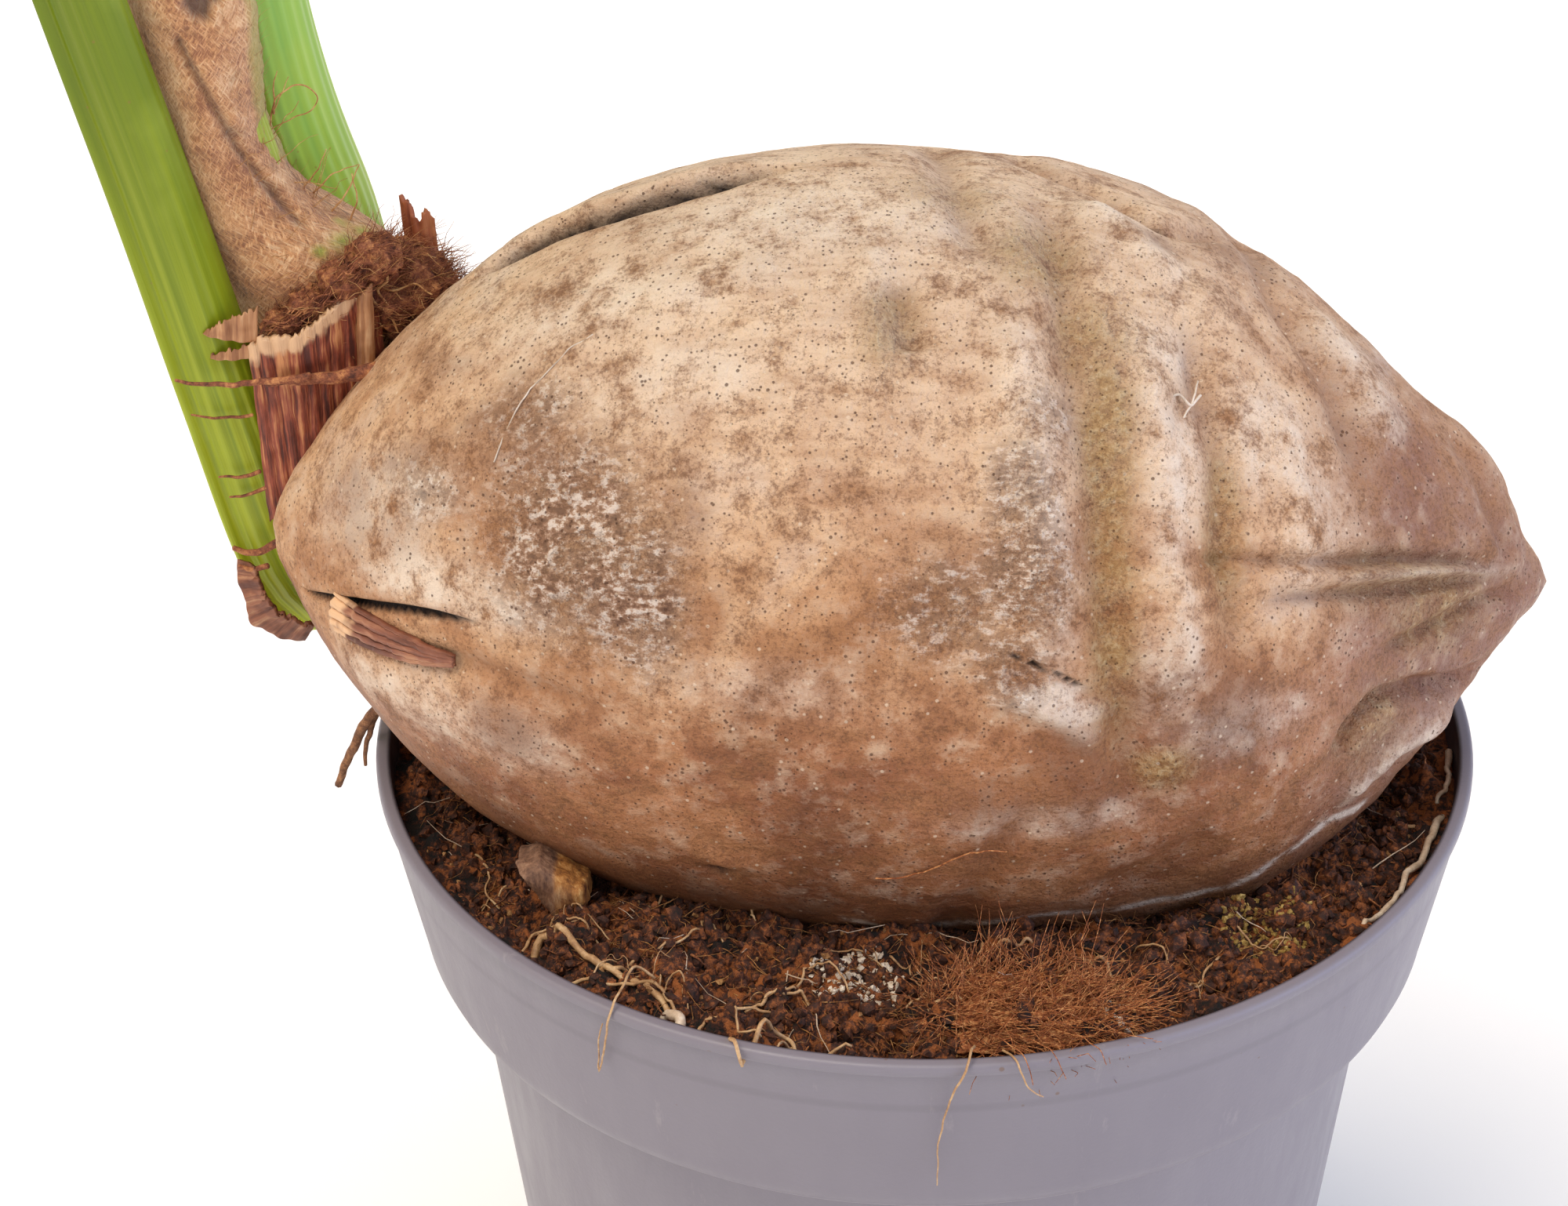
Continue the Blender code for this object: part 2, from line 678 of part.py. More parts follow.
def make_husk_wedge():
    """A papery splinter that lies along the split in the husk's front, at the stalk end."""
    def point_at(across, along):
        pinch = 1 - WEDGE_PINCH * along
        turn = math.radians(WEDGE_TURN + (across - 0.5) * WEDGE_SPREAD * pinch)
        station = mix(WEDGE_FROM, WEDGE_TO, along)
        ahead, beside = husk_point(station + 0.01, turn), husk_point(station, turn + 0.02)
        here = husk_point(station, turn)
        out = (ahead - here).cross(beside - here).normalized()
        if out.dot(here - husk_axis(station)) < 0:
            out.negate()
        return here + out * SNUG

    wedge = place("husk_wedge", sheet("husk_wedge", point_at, 5, 8), "scale_brown")
    solidify(wedge, WEDGE_THICK)
    return wedge


def make_husk_chip():
    """A broken wedge of husk that lies on the mix against the coconut."""
    level = POT_HEIGHT - SOIL_DROP
    x = CHIP_FROM_RIM - POT_RIM_RADIUS
    centre = Vector((x, husk_front(x, level) - CHIP_BEFORE_HUSK, level + CHIP_ABOVE_MIX))
    shape = bmesh.new()
    bmesh.ops.create_cube(shape, size=1.0)
    bmesh.ops.subdivide_edges(shape, edges=shape.edges, cuts=2, use_grid_fill=True)
    for vertex in shape.verts:
        toward = vertex.co.y + 0.5
        height = vertex.co.z * mix(*CHIP_HEIGHTS, toward) + CHIP_SLOPE * toward
        width = vertex.co.x * mix(*CHIP_WIDTHS, toward)
        rough = CHIP_ROUGH * noise.noise(vertex.co * 4)
        vertex.co = centre + Vector((width + rough, vertex.co.y * CHIP_LENGTH + rough, height))
    return place("husk_chip", finish_mesh(shape, "husk_chip"), "husk")


def make_surface_root():
    """A thick root, half sunk in the mix, that follows the rim."""
    points = []
    for angle, inset, sink in SURFACE_ROOT:
        reach = POT_RIM_RADIUS - inset
        turn = math.radians(angle)
        points.append((reach * math.cos(turn), reach * math.sin(turn), POT_HEIGHT - SOIL_DROP - sink))
    return rod("surface_root", points, ROOT_RADIUS, "root_tan")


def make_root_stub():
    """A dead root that hangs from the husk's underside, just outside the rim."""
    rim = Vector((-POT_RIM_RADIUS, 0.0, POT_HEIGHT))
    points = [rim + Vector(point) for point in ROOT_STUB_FROM_RIM]
    return rod("root_stub", points, ROOT_RADIUS, "root_tan")


def make_coir_tuft():
    """A mat of loose coir on the mix, by the rim at the front."""
    shape = bmesh.new()
    bmesh.ops.create_uvsphere(shape, u_segments=16, v_segments=8, radius=1.0)
    angle = math.radians(TUFT_ANGLE)
    reach = POT_RIM_RADIUS - LIP_WIDTH - TUFT_FROM_LIP
    level = POT_HEIGHT - SOIL_DROP + TUFT_ABOVE_MIX
    centre = Vector((reach * math.cos(angle), reach * math.sin(angle), level))
    outward = Vector((math.cos(angle), math.sin(angle), 0.0))
    along = Vector((-math.sin(angle), math.cos(angle), 0.0))
    for vertex in shape.verts:
        rough = 1 + TUFT_ROUGH * noise.noise(vertex.co * 3)
        flat = along * TUFT_HALF[0] * vertex.co.x + outward * TUFT_HALF[1] * vertex.co.y
        vertex.co = centre + flat * rough + Vector((0.0, 0.0, TUFT_HALF[2] * vertex.co.z))
    return place("coir_tuft", finish_mesh(shape, "coir_tuft"), "root_tan")


# ---------------------------------------------------------------- build

for leftover in list(bpy.data.objects):
    bpy.data.objects.remove(leftover)
parts = make_collection(OBJECT_NAME)
cutters = make_collection("cutters")
materials = {name: make_material(name, *values) for name, values in COLOURS.items()}
stalk_end = husk_stalk_end()
stem_route = Route(from_stalk_end(STEM_PATH))
sheath_route = Route(from_stalk_end(SHEATH_PATH))

make_pot()
soil = make_soil()
husk = make_husk()
stem = make_stem()
husk_room = grown(husk, CLEAR)
stem_room = grown(stem, CLEAR)
cut(husk, stem_room)

leaf_1 = make_leaf("leaf_1", from_stalk_end(LEAF_1_PATH), heading=205, stalk=0.46, half_width=0.076,
                   wide=STALK_WIDE, deep=STALK_DEEP, foot=STALK_WIDE)
leaf_2 = make_leaf("leaf_2", from_stalk_end(LEAF_2_PATH), heading=35, stalk=0.47, half_width=0.072,
                   wide=STALK_WIDE, deep=STALK_DEEP * 0.85, foot=STALK_WIDE)
leaf_3 = make_leaf("leaf_3", inner_path(0.0, 0.0049, LEAF_3_ONWARD), heading=135, stalk=0.46,
                   half_width=0.070, wide=0.0058, deep=0.0034, foot=INNER_STALK)
leaf_4 = make_leaf("leaf_4", inner_path(0.0043, -0.0025, LEAF_4_ONWARD), heading=-37, stalk=0.46,
                   half_width=0.062, wide=0.0054, deep=0.0034, foot=INNER_STALK)
spear = make_spear(inner_path(-0.0043, -0.0025, SPEAR_ONWARD))
sheath = make_sheath()
for piece in (leaf_1, leaf_2, leaf_3, leaf_4, spear, sheath):
    cut(piece, stem_room)
cut(leaf_1, husk_room)

cut_scale = stem_scale("cut_scale_leaf", 0.62, 1.0, 278, 324, 0.0018, 0.0010, lift=0.10)
cut(cut_scale, husk_room)
bract = stem_scale("bract_flap", 0.22, 0.41, 140, 285, 0.0030, 0.0008)
cut(bract, husk_room)
fringe = make_fringe()
fringe_room = grown(fringe, CLEAR)
cut(fringe, stem_room, husk_room)
upright_scale = make_upright_scale()
cut(upright_scale, fringe_room)

make_husk_wedge()
chip = make_husk_chip()
cut(chip, husk_room)
surface_root = make_surface_root()
root_stub = make_root_stub()
cut(root_stub, husk_room)
tuft = make_coir_tuft()
cut(soil, husk_room, grown(chip, CLEAR), grown(surface_root, CLEAR), grown(tuft, CLEAR))
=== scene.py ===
"""Potted coconut palm: the look of every piece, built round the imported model.

Run as a script it registers its operators, calls them in order and finishes the model.
"""

import math

import bmesh
import bpy
import numpy as np
from bpy.props import FloatProperty, FloatVectorProperty, IntProperty, PointerProperty
from mathutils import Matrix, Vector, noise


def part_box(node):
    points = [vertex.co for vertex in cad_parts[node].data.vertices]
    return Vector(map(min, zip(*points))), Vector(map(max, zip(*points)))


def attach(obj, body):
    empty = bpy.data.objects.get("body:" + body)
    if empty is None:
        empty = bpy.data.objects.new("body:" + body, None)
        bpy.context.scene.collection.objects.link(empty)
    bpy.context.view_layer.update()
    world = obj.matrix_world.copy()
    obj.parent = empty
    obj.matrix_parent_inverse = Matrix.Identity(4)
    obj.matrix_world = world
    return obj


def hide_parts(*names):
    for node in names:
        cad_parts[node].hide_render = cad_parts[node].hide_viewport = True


bl_info = {
    "name": "Potted coconut palm",
    "version": (1, 0, 0),
    "blender": (4, 5, 0),
    "location": "3D View > Sidebar > Coconut palm",
    "description": "Builds the husk, shoot, leaves, potting mix and pot of a young coconut palm",
    "category": "Object",
}

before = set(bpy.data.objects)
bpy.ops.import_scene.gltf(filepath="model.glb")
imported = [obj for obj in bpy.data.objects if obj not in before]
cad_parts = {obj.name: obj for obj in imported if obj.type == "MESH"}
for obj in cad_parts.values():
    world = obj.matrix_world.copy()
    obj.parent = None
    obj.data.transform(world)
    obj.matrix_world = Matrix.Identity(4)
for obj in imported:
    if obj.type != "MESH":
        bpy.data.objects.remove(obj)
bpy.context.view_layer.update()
_, POT_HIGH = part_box("plant_pot")
RIM_HEIGHT = POT_HIGH.z
RIM_RADIUS = POT_HIGH.x
MM = 0.001


# ---------------------------------------------------------------- colours and nodes

def linear(code):
    """An sRGB hex colour as linear RGBA."""
    values = [int(code[index:index + 2], 16) / 255 for index in (1, 3, 5)]
    return tuple(value / 12.92 if value <= 0.04045 else ((value + 0.055) / 1.055) ** 2.4
                 for value in values) + (1.0,)


def every(millimetres):
    """The texture scale that repeats about once in so many millimetres."""
    return 1000.0 / millimetres


# The output that is read from a shader node when no other is named; a mix is always of colours
USUAL_OUTPUTS = {"TexCoord": "Object", "TexNoise": "Fac", "TexVoronoi": "Distance", "ValToRGB": "Color",
                 "Attribute": "Fac", "Mix": 2}


def put(tree, socket, value):
    """Give an input a value or a hex colour, or link it to the socket that feeds it."""
    if isinstance(value, bpy.types.NodeSocket):
        tree.links.new(value, socket)
    else:
        socket.default_value = linear(value) if isinstance(value, str) else value


def add(tree, kind, inputs=None, out=None, stops=None, **settings):
    """Add a node and give an output socket. A short kind is a shader node's, and a capital marks an input."""
    made = tree.nodes.new(kind if "Node" in kind else "ShaderNode" + kind)
    if kind == "Mix":
        made.data_type = "RGBA"
    inputs = dict(inputs or {})
    for key, value in settings.items():
        if key[0].isupper():
            inputs[key.replace("_", " ")] = value
        else:
            setattr(made, key, value)
    for key, value in inputs.items():
        put(tree, made.inputs[key], value)
    if stops:
        marks = made.color_ramp.elements
        while len(marks) < len(stops):
            marks.new(1.0)
        for mark, (position, colour) in zip(marks, stops):
            mark.position = position
            mark.color = linear(colour) if isinstance(colour, str) else colour
    if out is None:
        out = USUAL_OUTPUTS.get(kind, 0)
    return made.outputs[out] if len(made.outputs) else made


def new_material(name):
    material = bpy.data.materials.new(name)
    material.use_nodes = True
    return material, material.node_tree, material.node_tree.nodes["Principled BSDF"]


def feed(shader, **inputs):
    """Set or link the shader's inputs; an underscore stands for a space."""
    for name, value in inputs.items():
        put(shader.id_data, shader.inputs[name.replace("_", " ")], value)


# ---------------------------------------------------------------- shapes

def ease(value):
    value = np.clip(value, 0.0, 1.0)
    return value * value * (3 - 2 * value)


def mix(a, b, share):
    return a + (b - a) * share


class Route:
    """A smooth curve through points (Catmull-Rom), read by shares of its length."""

    def __init__(self, points, samples=60):
        knots = np.array(points, float)
        knots = np.vstack([2 * knots[0] - knots[1], knots, 2 * knots[-1] - knots[-2]])
        spans = len(points) - 1
        steps = np.linspace(0, spans, spans * samples + 1)
        span = np.minimum(steps.astype(int), spans - 1)
        t = (steps - span)[:, None]
        before, start, end, after = (knots[span + shift] for shift in range(4))
        self.table = 0.5 * (2 * start + (end - before) * t
                            + (2 * before - 5 * start + 4 * end - after) * t ** 2
                            + (3 * start - before - 3 * end + after) * t ** 3)
        reached = np.concatenate([[0.0], np.cumsum(np.linalg.norm(np.diff(self.table, axis=0), axis=1))])
        self.length = reached[-1]
        self.shares = reached / self.length

    def at(self, share):
        share = np.clip(share, 0.0, 1.0)
        return np.stack([np.interp(share, self.shares, self.table[:, axis]) for axis in range(3)], axis=-1)

    def direction(self, share):
        step = self.at(np.minimum(share + 0.005, 1.0)) - self.at(np.maximum(share - 0.005, 0.0))
        return unit(step)


def unit(vectors):
    return vectors / np.maximum(np.linalg.norm(vectors, axis=-1, keepdims=True), 1e-12)


def grain(points, size, seed=0.0, octaves=3):
    """Smooth random heights from about -1 to 1, one for each point, with lumps of the given size."""
    shift = Vector((seed * 7.3, seed * 3.1, seed * 5.7))
    return np.array([noise.fractal(Vector(point) / size + shift, 0.9, 2.1, octaves) for point in points])


class Shape:
    """Points and faces gathered from several parts before they become one mesh."""

    def __init__(self):
        self.points = []
        self.faces = []
        self.count = 0

    def add(self, points, faces):
        points = np.asarray(points, float)
        self.points.append(points)
        self.faces += [tuple(corner + self.count for corner in face) for face in faces]
        self.count += len(points)

    def tube(self, line, radii, sides=6):
        """A closed round tube along a line, with a radius for each of its points."""
        line = np.asarray(line, float)
        count = len(line)
        radii = np.broadcast_to(radii, count)
        forward = unit(np.gradient(line, axis=0))
        side = np.cross(forward[0], [0.31, 0.22, 0.93])
        points = []
        for index in range(count):
            side = side - forward[index] * side.dot(forward[index])
            side = unit(side)
            over = np.cross(forward[index], side)
            turns = np.arange(sides) * math.tau / sides
            points.append(line[index] + radii[index] * (np.cos(turns)[:, None] * side
                                                        + np.sin(turns)[:, None] * over))
        ends = [line[0] - forward[0] * radii[0] * 0.5, line[-1] + forward[-1] * radii[-1] * 0.5]
        faces = wrapped_faces(count, sides)
        first, last = count * sides, count * sides + 1
        faces += [(first, (step + 1) % sides, step) for step in range(sides)]
        base = (count - 1) * sides
        faces += [(last, base + step, base + (step + 1) % sides) for step in range(sides)]
        self.add(np.vstack(points + [ends]), faces)

    def make(self, name, material, smooth=True):
        return make_object(name, np.vstack(self.points), self.faces, material, smooth)


def wrapped_faces(rows, around):
    """Quads between rings of equally many points, one ring after another."""
    faces = []
    for row in range(rows - 1):
        for step in range(around):
            after = (step + 1) % around
            faces.append((row * around + step, row * around + after,
                          (row + 1) * around + after, (row + 1) * around + step))
    return faces


def capped_faces(rows, around):
    """Quads between rings, closed by fans to two end points that follow the rings' points."""
    faces = wrapped_faces(rows, around)
    first, last, base = rows * around, rows * around + 1, (rows - 1) * around
    for step in range(around):
        after = (step + 1) % around
        faces += [(first, after, step), (last, base + step, base + after)]
    return faces


def sheet_faces(rows, columns):
    """Quads of a flat grid of rows and columns of points."""
    return [(row * columns + step, row * columns + step + 1,
             (row + 1) * columns + step + 1, (row + 1) * columns + step)
            for row in range(rows - 1) for step in range(columns - 1)]


def make_object(name, points, faces, material, smooth=True):
    mesh = bpy.data.meshes.new(name)
    mesh.from_pydata([tuple(point) for point in points], [], faces)
    mesh.update()
    if smooth:
        mesh.shade_smooth()
    mesh.materials.append(material)
    piece = bpy.data.objects.new(name, mesh)
    bpy.context.scene.collection.objects.link(piece)
    return piece


def face_outwards(piece):
    """Turn a closed piece's faces outwards."""
    shape = bmesh.new()
    shape.from_mesh(piece.data)
    bmesh.ops.recalc_face_normals(shape, faces=shape.faces)
    if shape.calc_volume(signed=True) < 0:
        bmesh.ops.reverse_faces(shape, faces=shape.faces)
    shape.to_mesh(piece.data)
    shape.free()


def paint(piece, name, values):
    """Store a number for each point of the piece, which its material reads."""
    layer = piece.data.attributes.new(name, "FLOAT", "POINT")
    layer.data.foreach_set("value", np.asarray(values, np.float32))


def measure_sheet(piece, across, along):
    """Store distances across and along, in metres, as the piece's UV map."""
    layer = piece.data.uv_layers.new(name="UVMap")
    corners = np.empty(len(piece.data.loops), int)
    piece.data.loops.foreach_get("vertex_index", corners)
    spread = np.stack([np.asarray(across)[corners], np.asarray(along)[corners]], axis=-1)
    layer.data.foreach_set("uv", spread.astype(np.float32).ravel())


def apply_modifiers(piece):
    """Turn the piece's live modifiers into its plain mesh."""
    evaluated = piece.evaluated_get(bpy.context.evaluated_depsgraph_get())
    mesh = bpy.data.meshes.new_from_object(evaluated)
    mesh.name = piece.name
    piece.modifiers.clear()
    piece.data = mesh
    return piece


def thicken(piece, amount, offset=-1.0):
    wall = piece.modifiers.new("thickness", "SOLIDIFY")
    wall.thickness = amount
    wall.offset = offset
    wall.use_even_offset = False
    apply_modifiers(piece)
    face_outwards(piece)
    piece.data.shade_smooth()


def settle(piece, slot, *nodes):
    """The piece rides on the palm and stands for the named nodes; the slot it is given is not used."""
    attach(piece, "root")
    if nodes:
        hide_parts(*nodes)
    return piece


# ---------------------------------------------------------------- materials

def weathered_husk_skin(look):
    """Dried coconut husk, weathered outdoors: dull tan skin, dark pores, lime crust, dust in its folds."""
    material, tree, shader = new_material("Weathered coconut husk skin")
    here = add(tree, "TexCoord")
    height = add(tree, "SeparateXYZ", Vector=here, out="Z")
    tone, far_end, dust, crust, pale, stain, gap = (
        add(tree, "Attribute", attribute_name=name)
        for name in ("tone", "far_end", "dust", "crust", "pale", "stain", "gap"))
    # noises: stretch along the husk, millimetres across a blotch, detail, roughness, distortion
    broad, mottle, fine, streak, flakes, dashes, dirt = (
        add(tree, "TexNoise", Vector=add(tree, "Mapping", Vector=here, Scale=(stretch, 1.0, 1.0)),
                               Scale=every(size), Detail=detail, Roughness=rough, Distortion=bent)
        for stretch, size, detail, rough, bent in (
            (1.0, 30, 5.0, 0.62, 0.6), (1.0, 7, 6.0, 0.68, 0.0), (1.0, 1.6, 5.0, 0.7, 0.0),
            (0.22, 3.0, 4.0, 0.6, 0.0), (1.0, 2.6, 6.0, 0.75, 0.0), (0.35, 1.1, 4.0, 0.6, 0.0),
            (1.0, 0.75, 5.0, 0.8, 0.0)))

    upper = add(tree, "ValToRGB", Fac=broad, stops=[(0.33, look.husk_brown), (0.45, look.husk_tan),
        (0.56, look.husk_cream), (0.72, look.husk_grey)])
    lower = add(tree, "ValToRGB", Fac=broad, stops=[(0.30, "#6a4029"), (0.46, "#96603f"), (0.58, "#b07850"),
        (0.70, "#c38d67")])
    wobble = add(tree, "Math", {0: mottle, 1: -0.5}, operation="ADD")
    broken = add(tree, "Math", {0: wobble, 1: 6.0, 2: 1.0}, operation="MULTIPLY_ADD")
    edge = add(tree, "Math", {0: wobble, 1: 1.3, 2: tone}, operation="MULTIPLY_ADD")
    upward = add(tree, "MapRange", Value=edge, From_Min=0.15, From_Max=0.85,
        interpolation_type="SMOOTHSTEP")
    colour = add(tree, "Mix", {0: upward, 6: lower, 7: upper})
    far = add(tree, "Math", {0: wobble, 1: 1.2, 2: far_end}, operation="MULTIPLY_ADD", use_clamp=True)
    far_some = add(tree, "Math", {0: far, 1: 0.82}, operation="MULTIPLY")
    colour = add(tree, "Mix", {0: far_some, 6: colour, 7: "#876257"})
    for source, start, end, most, tint in (
            (height, RIM_HEIGHT + 0.070, RIM_HEIGHT + 0.112, 0.55, "#f2dfc6"),  # painted light from above, paler towards the top of the husk
            (mottle, 0.52, 0.68, 0.36, "#e8d0b4"),  # paler rubbed skin
            (mottle, 0.50, 0.32, 0.66, "#96673f"),  # darker weathering
            (streak, 0.47, 0.68, 0.42, "#a97a52")):  # streaks along the husk
        share = add(tree, "MapRange", Value=source, From_Min=start, From_Max=end, To_Max=most)
        colour = add(tree, "Mix", {0: share, 6: colour, 7: tint})

    # painted marks, broken up by the mottling: rubbed patches with painted highlight on the folds' ridges,
    # stains with painted shade in the furrows, ochre dust in the folds, and lime crust, which is white flakes
    # on bared fibre, cut by short cross dashes
    dust_colour = add(tree, "ValToRGB", Fac=fine,
        stops=[(0.36, "#a0743f"), (0.48, "#cda267"), (0.62, "#ebcfa0")])
    flake_sum = add(tree, "Math", {0: dashes, 1: 0.8, 2: flakes}, operation="MULTIPLY_ADD")
    crust_colour = add(tree, "ValToRGB", Fac=flake_sum,
        stops=[(0.76, "#5f4030"), (0.86, "#8d6850"), (0.94, "#c0a28c"), (1.0, "#eaddd2")])
    shares = []
    for mark, most, tint in ((pale, 0.80, "#e9dac9"), (stain, 0.72, "#7d5339"),
                             (dust, 0.75, dust_colour), (crust, 0.78, crust_colour)):
        edge = add(tree, "Math", {0: broken, 1: mark}, operation="MULTIPLY", use_clamp=True)
        shares.append(add(tree, "Math", {0: edge, 1: most}, operation="MULTIPLY"))
        colour = add(tree, "Mix", {0: shares[-1], 6: colour, 7: tint})
    dust_some, crust_some = shares[2:]

    # dark pores under 1 mm across, pale specks of dust, freckles of dirt and painted shade inside splits and
    # holes
    pores = add(tree, "TexVoronoi", Vector=here, Scale=every(1.25))
    pore_size = add(tree, "MapRange", Value=mottle, From_Min=0.36, From_Max=0.64, To_Min=0.04, To_Max=0.27)
    pore_gap = add(tree, "Math", {0: pore_size, 1: pores}, operation="SUBTRACT")
    pore = add(tree, "MapRange", Value=pore_gap, From_Min=0.0, From_Max=0.10, To_Max=0.75)
    speck_way = add(tree, "Mapping", Vector=here, Location=(0.013, 0.007, 0.031))
    specks = add(tree, "TexVoronoi", Vector=speck_way, Scale=every(3.0))
    speck = add(tree, "MapRange", Value=specks, From_Min=0.13, From_Max=0.08, To_Max=0.60)
    dirt_sum = add(tree, "Math", {0: mottle, 1: -0.60, 2: dirt}, operation="MULTIPLY_ADD")
    freckle = add(tree, "MapRange", Value=dirt_sum, From_Min=0.20, From_Max=0.36, To_Max=0.66)
    for share, tint in ((pore, "#5a3620"), (speck, "#e2cdb4"), (freckle, "#643f2a"), (gap, "#1d110b")):
        colour = add(tree, "Mix", {0: share, 6: colour, 7: tint})

    rough_flakes = add(tree, "Math", {0: flake_sum, 1: crust_some}, operation="MULTIPLY")
    rough_dust = add(tree, "Math", {0: fine, 1: dust_some}, operation="MULTIPLY")
    relief = mottle
    for part, amount in ((fine, 0.5), (streak, 0.35), (pore, -0.30), (rough_flakes, 0.8), (rough_dust, 1.6)):
        relief = add(tree, "Math", {0: part, 1: amount, 2: relief}, operation="MULTIPLY_ADD")
    bump = add(tree, "Bump", Height=relief, Strength=1.0, Distance=0.0016)
    roughness = add(tree, "MapRange", Value=tone, To_Min=0.50, To_Max=0.72)
    feed(shader, Base_Color=colour, Normal=bump, Roughness=roughness, Specular_IOR_Level=0.35)
    return material


def moulded_polypropylene(look):
    """Injection-moulded grey polypropylene: satin, faintly pebbled, with dried splashes of mix."""
    material, tree, shader = new_material("Moulded grey polypropylene")
    here = add(tree, "TexCoord")
    height = add(tree, "SeparateXYZ", Vector=here, out="Z")
    cloud = add(tree, "TexNoise", Vector=here, Scale=every(45), Detail=4.0)
    pebble = add(tree, "TexNoise", Vector=here, Scale=every(0.9), Detail=2.0)
    scuff_way = add(tree, "Mapping", Vector=here, Scale=(1.0, 1.0, 0.25))
    scuffs = add(tree, "TexNoise", Vector=scuff_way, Scale=every(9), Detail=6.0, Roughness=0.72)
    colour = add(tree, "Mix", {0: cloud, 6: look.pot_shade, 7: look.pot_grey})
    scuff = add(tree, "MapRange", Value=scuffs, From_Min=0.62, From_Max=0.78, To_Max=0.28)
    colour = add(tree, "Mix", {0: scuff, 6: colour, 7: "#c9c4bf"})
    near_rim = add(tree, "MapRange", Value=height, From_Min=RIM_HEIGHT - 0.034, From_Max=RIM_HEIGHT - 0.003,
        To_Max=1.0)
    splashes = add(tree, "TexVoronoi", Vector=here, Scale=every(7), Randomness=1.0)
    splash_size = add(tree, "Math", {0: near_rim, 1: 0.085}, operation="MULTIPLY")
    splash_gap = add(tree, "Math", {0: splash_size, 1: splashes}, operation="SUBTRACT")
    splash = add(tree, "MapRange", Value=splash_gap, From_Max=0.03, To_Max=0.7)
    colour = add(tree, "Mix", {0: splash, 6: colour, 7: "#6d5443"})
    # painted shade on the inside of the wall above the mix, under the rim, and a pale line round the collar's
    # foot
    level = add(tree, "Mapping", Vector=here, Scale=(1.0, 1.0, 0.0))
    reach = add(tree, "VectorMath", {0: level}, out="Value", operation="LENGTH")
    inner = add(tree, "MapRange", Value=reach, From_Min=RIM_RADIUS - 0.0019, From_Max=RIM_RADIUS - 0.0024,
        To_Max=0.90)
    high = add(tree, "MapRange", Value=height, From_Min=RIM_HEIGHT - 0.012, From_Max=RIM_HEIGHT - 0.008)
    inner_shade = add(tree, "Math", {0: inner, 1: high}, operation="MULTIPLY")
    colour = add(tree, "Mix", {0: inner_shade, 6: colour, 7: "#38333b"})
    foot_gap = add(tree, "Math", {0: height, 1: COLLAR_FOOT, 2: 0.0004}, operation="COMPARE")
    foot = add(tree, "Math", {0: foot_gap, 1: 0.30}, operation="MULTIPLY")
    colour = add(tree, "Mix", {0: foot, 6: colour, 7: "#cfccd2"})
    bump = add(tree, "Bump", Height=pebble, Strength=0.16, Distance=0.0003)
    roughness = add(tree, "MapRange", Value=scuffs, From_Min=0.3, From_Max=0.75, To_Min=0.36, To_Max=0.56)
    feed(shader, Base_Color=colour, Normal=bump, Roughness=roughness, IOR=1.49)
    return material


def moist_mix(look):
    """Peat and coir, moist: brown crumbs, near black painted shade in the hollows, painted light on the
    clods' tops, and a few tan shreds.
    """
    material, tree, shader = new_material("Moist peat and coir")
    here = add(tree, "TexCoord")
    clods = add(tree, "TexNoise", Vector=here, Scale=every(9), Detail=6.0, Roughness=0.7)
    crumbs = add(tree, "TexNoise", Vector=here, Scale=every(1.8), Detail=5.0, Roughness=0.75)
    both = add(tree, "Math", {0: crumbs, 1: 0.8, 2: clods}, operation="MULTIPLY_ADD")
    # the colour follows the bump's height: painted shade in the hollows, painted light on the clods' tops
    colour = add(tree, "ValToRGB", Fac=both, stops=[(0.78, "#090402"), (0.89, look.mix_brown),
        (1.02, "#9a5829")])
    bump = add(tree, "Bump", Height=both, Strength=0.9, Distance=0.0018)
    feed(shader, Base_Color=colour, Normal=bump, Roughness=0.88)
    return material


def loose_pieces(name, dark, middle, light, patch, roughness=0.8):
    """Loose crumbs, roots or fibres of one kind, whose colour changes from piece to piece."""
    material, tree, shader = new_material(name)
    here = add(tree, "TexCoord")
    change = add(tree, "TexNoise", Vector=here, Scale=every(patch), Detail=5.0, Roughness=0.8)
    colour = add(tree, "ValToRGB", Fac=change, stops=[(0.34, dark), (0.50, middle), (0.66, light)])
    rough = add(tree, "TexNoise", Vector=here, Scale=every(0.6), Detail=3.0)
    bump = add(tree, "Bump", Height=rough, Strength=0.5, Distance=0.0003)
    feed(shader, Base_Color=colour, Normal=bump, Roughness=roughness)
    return material


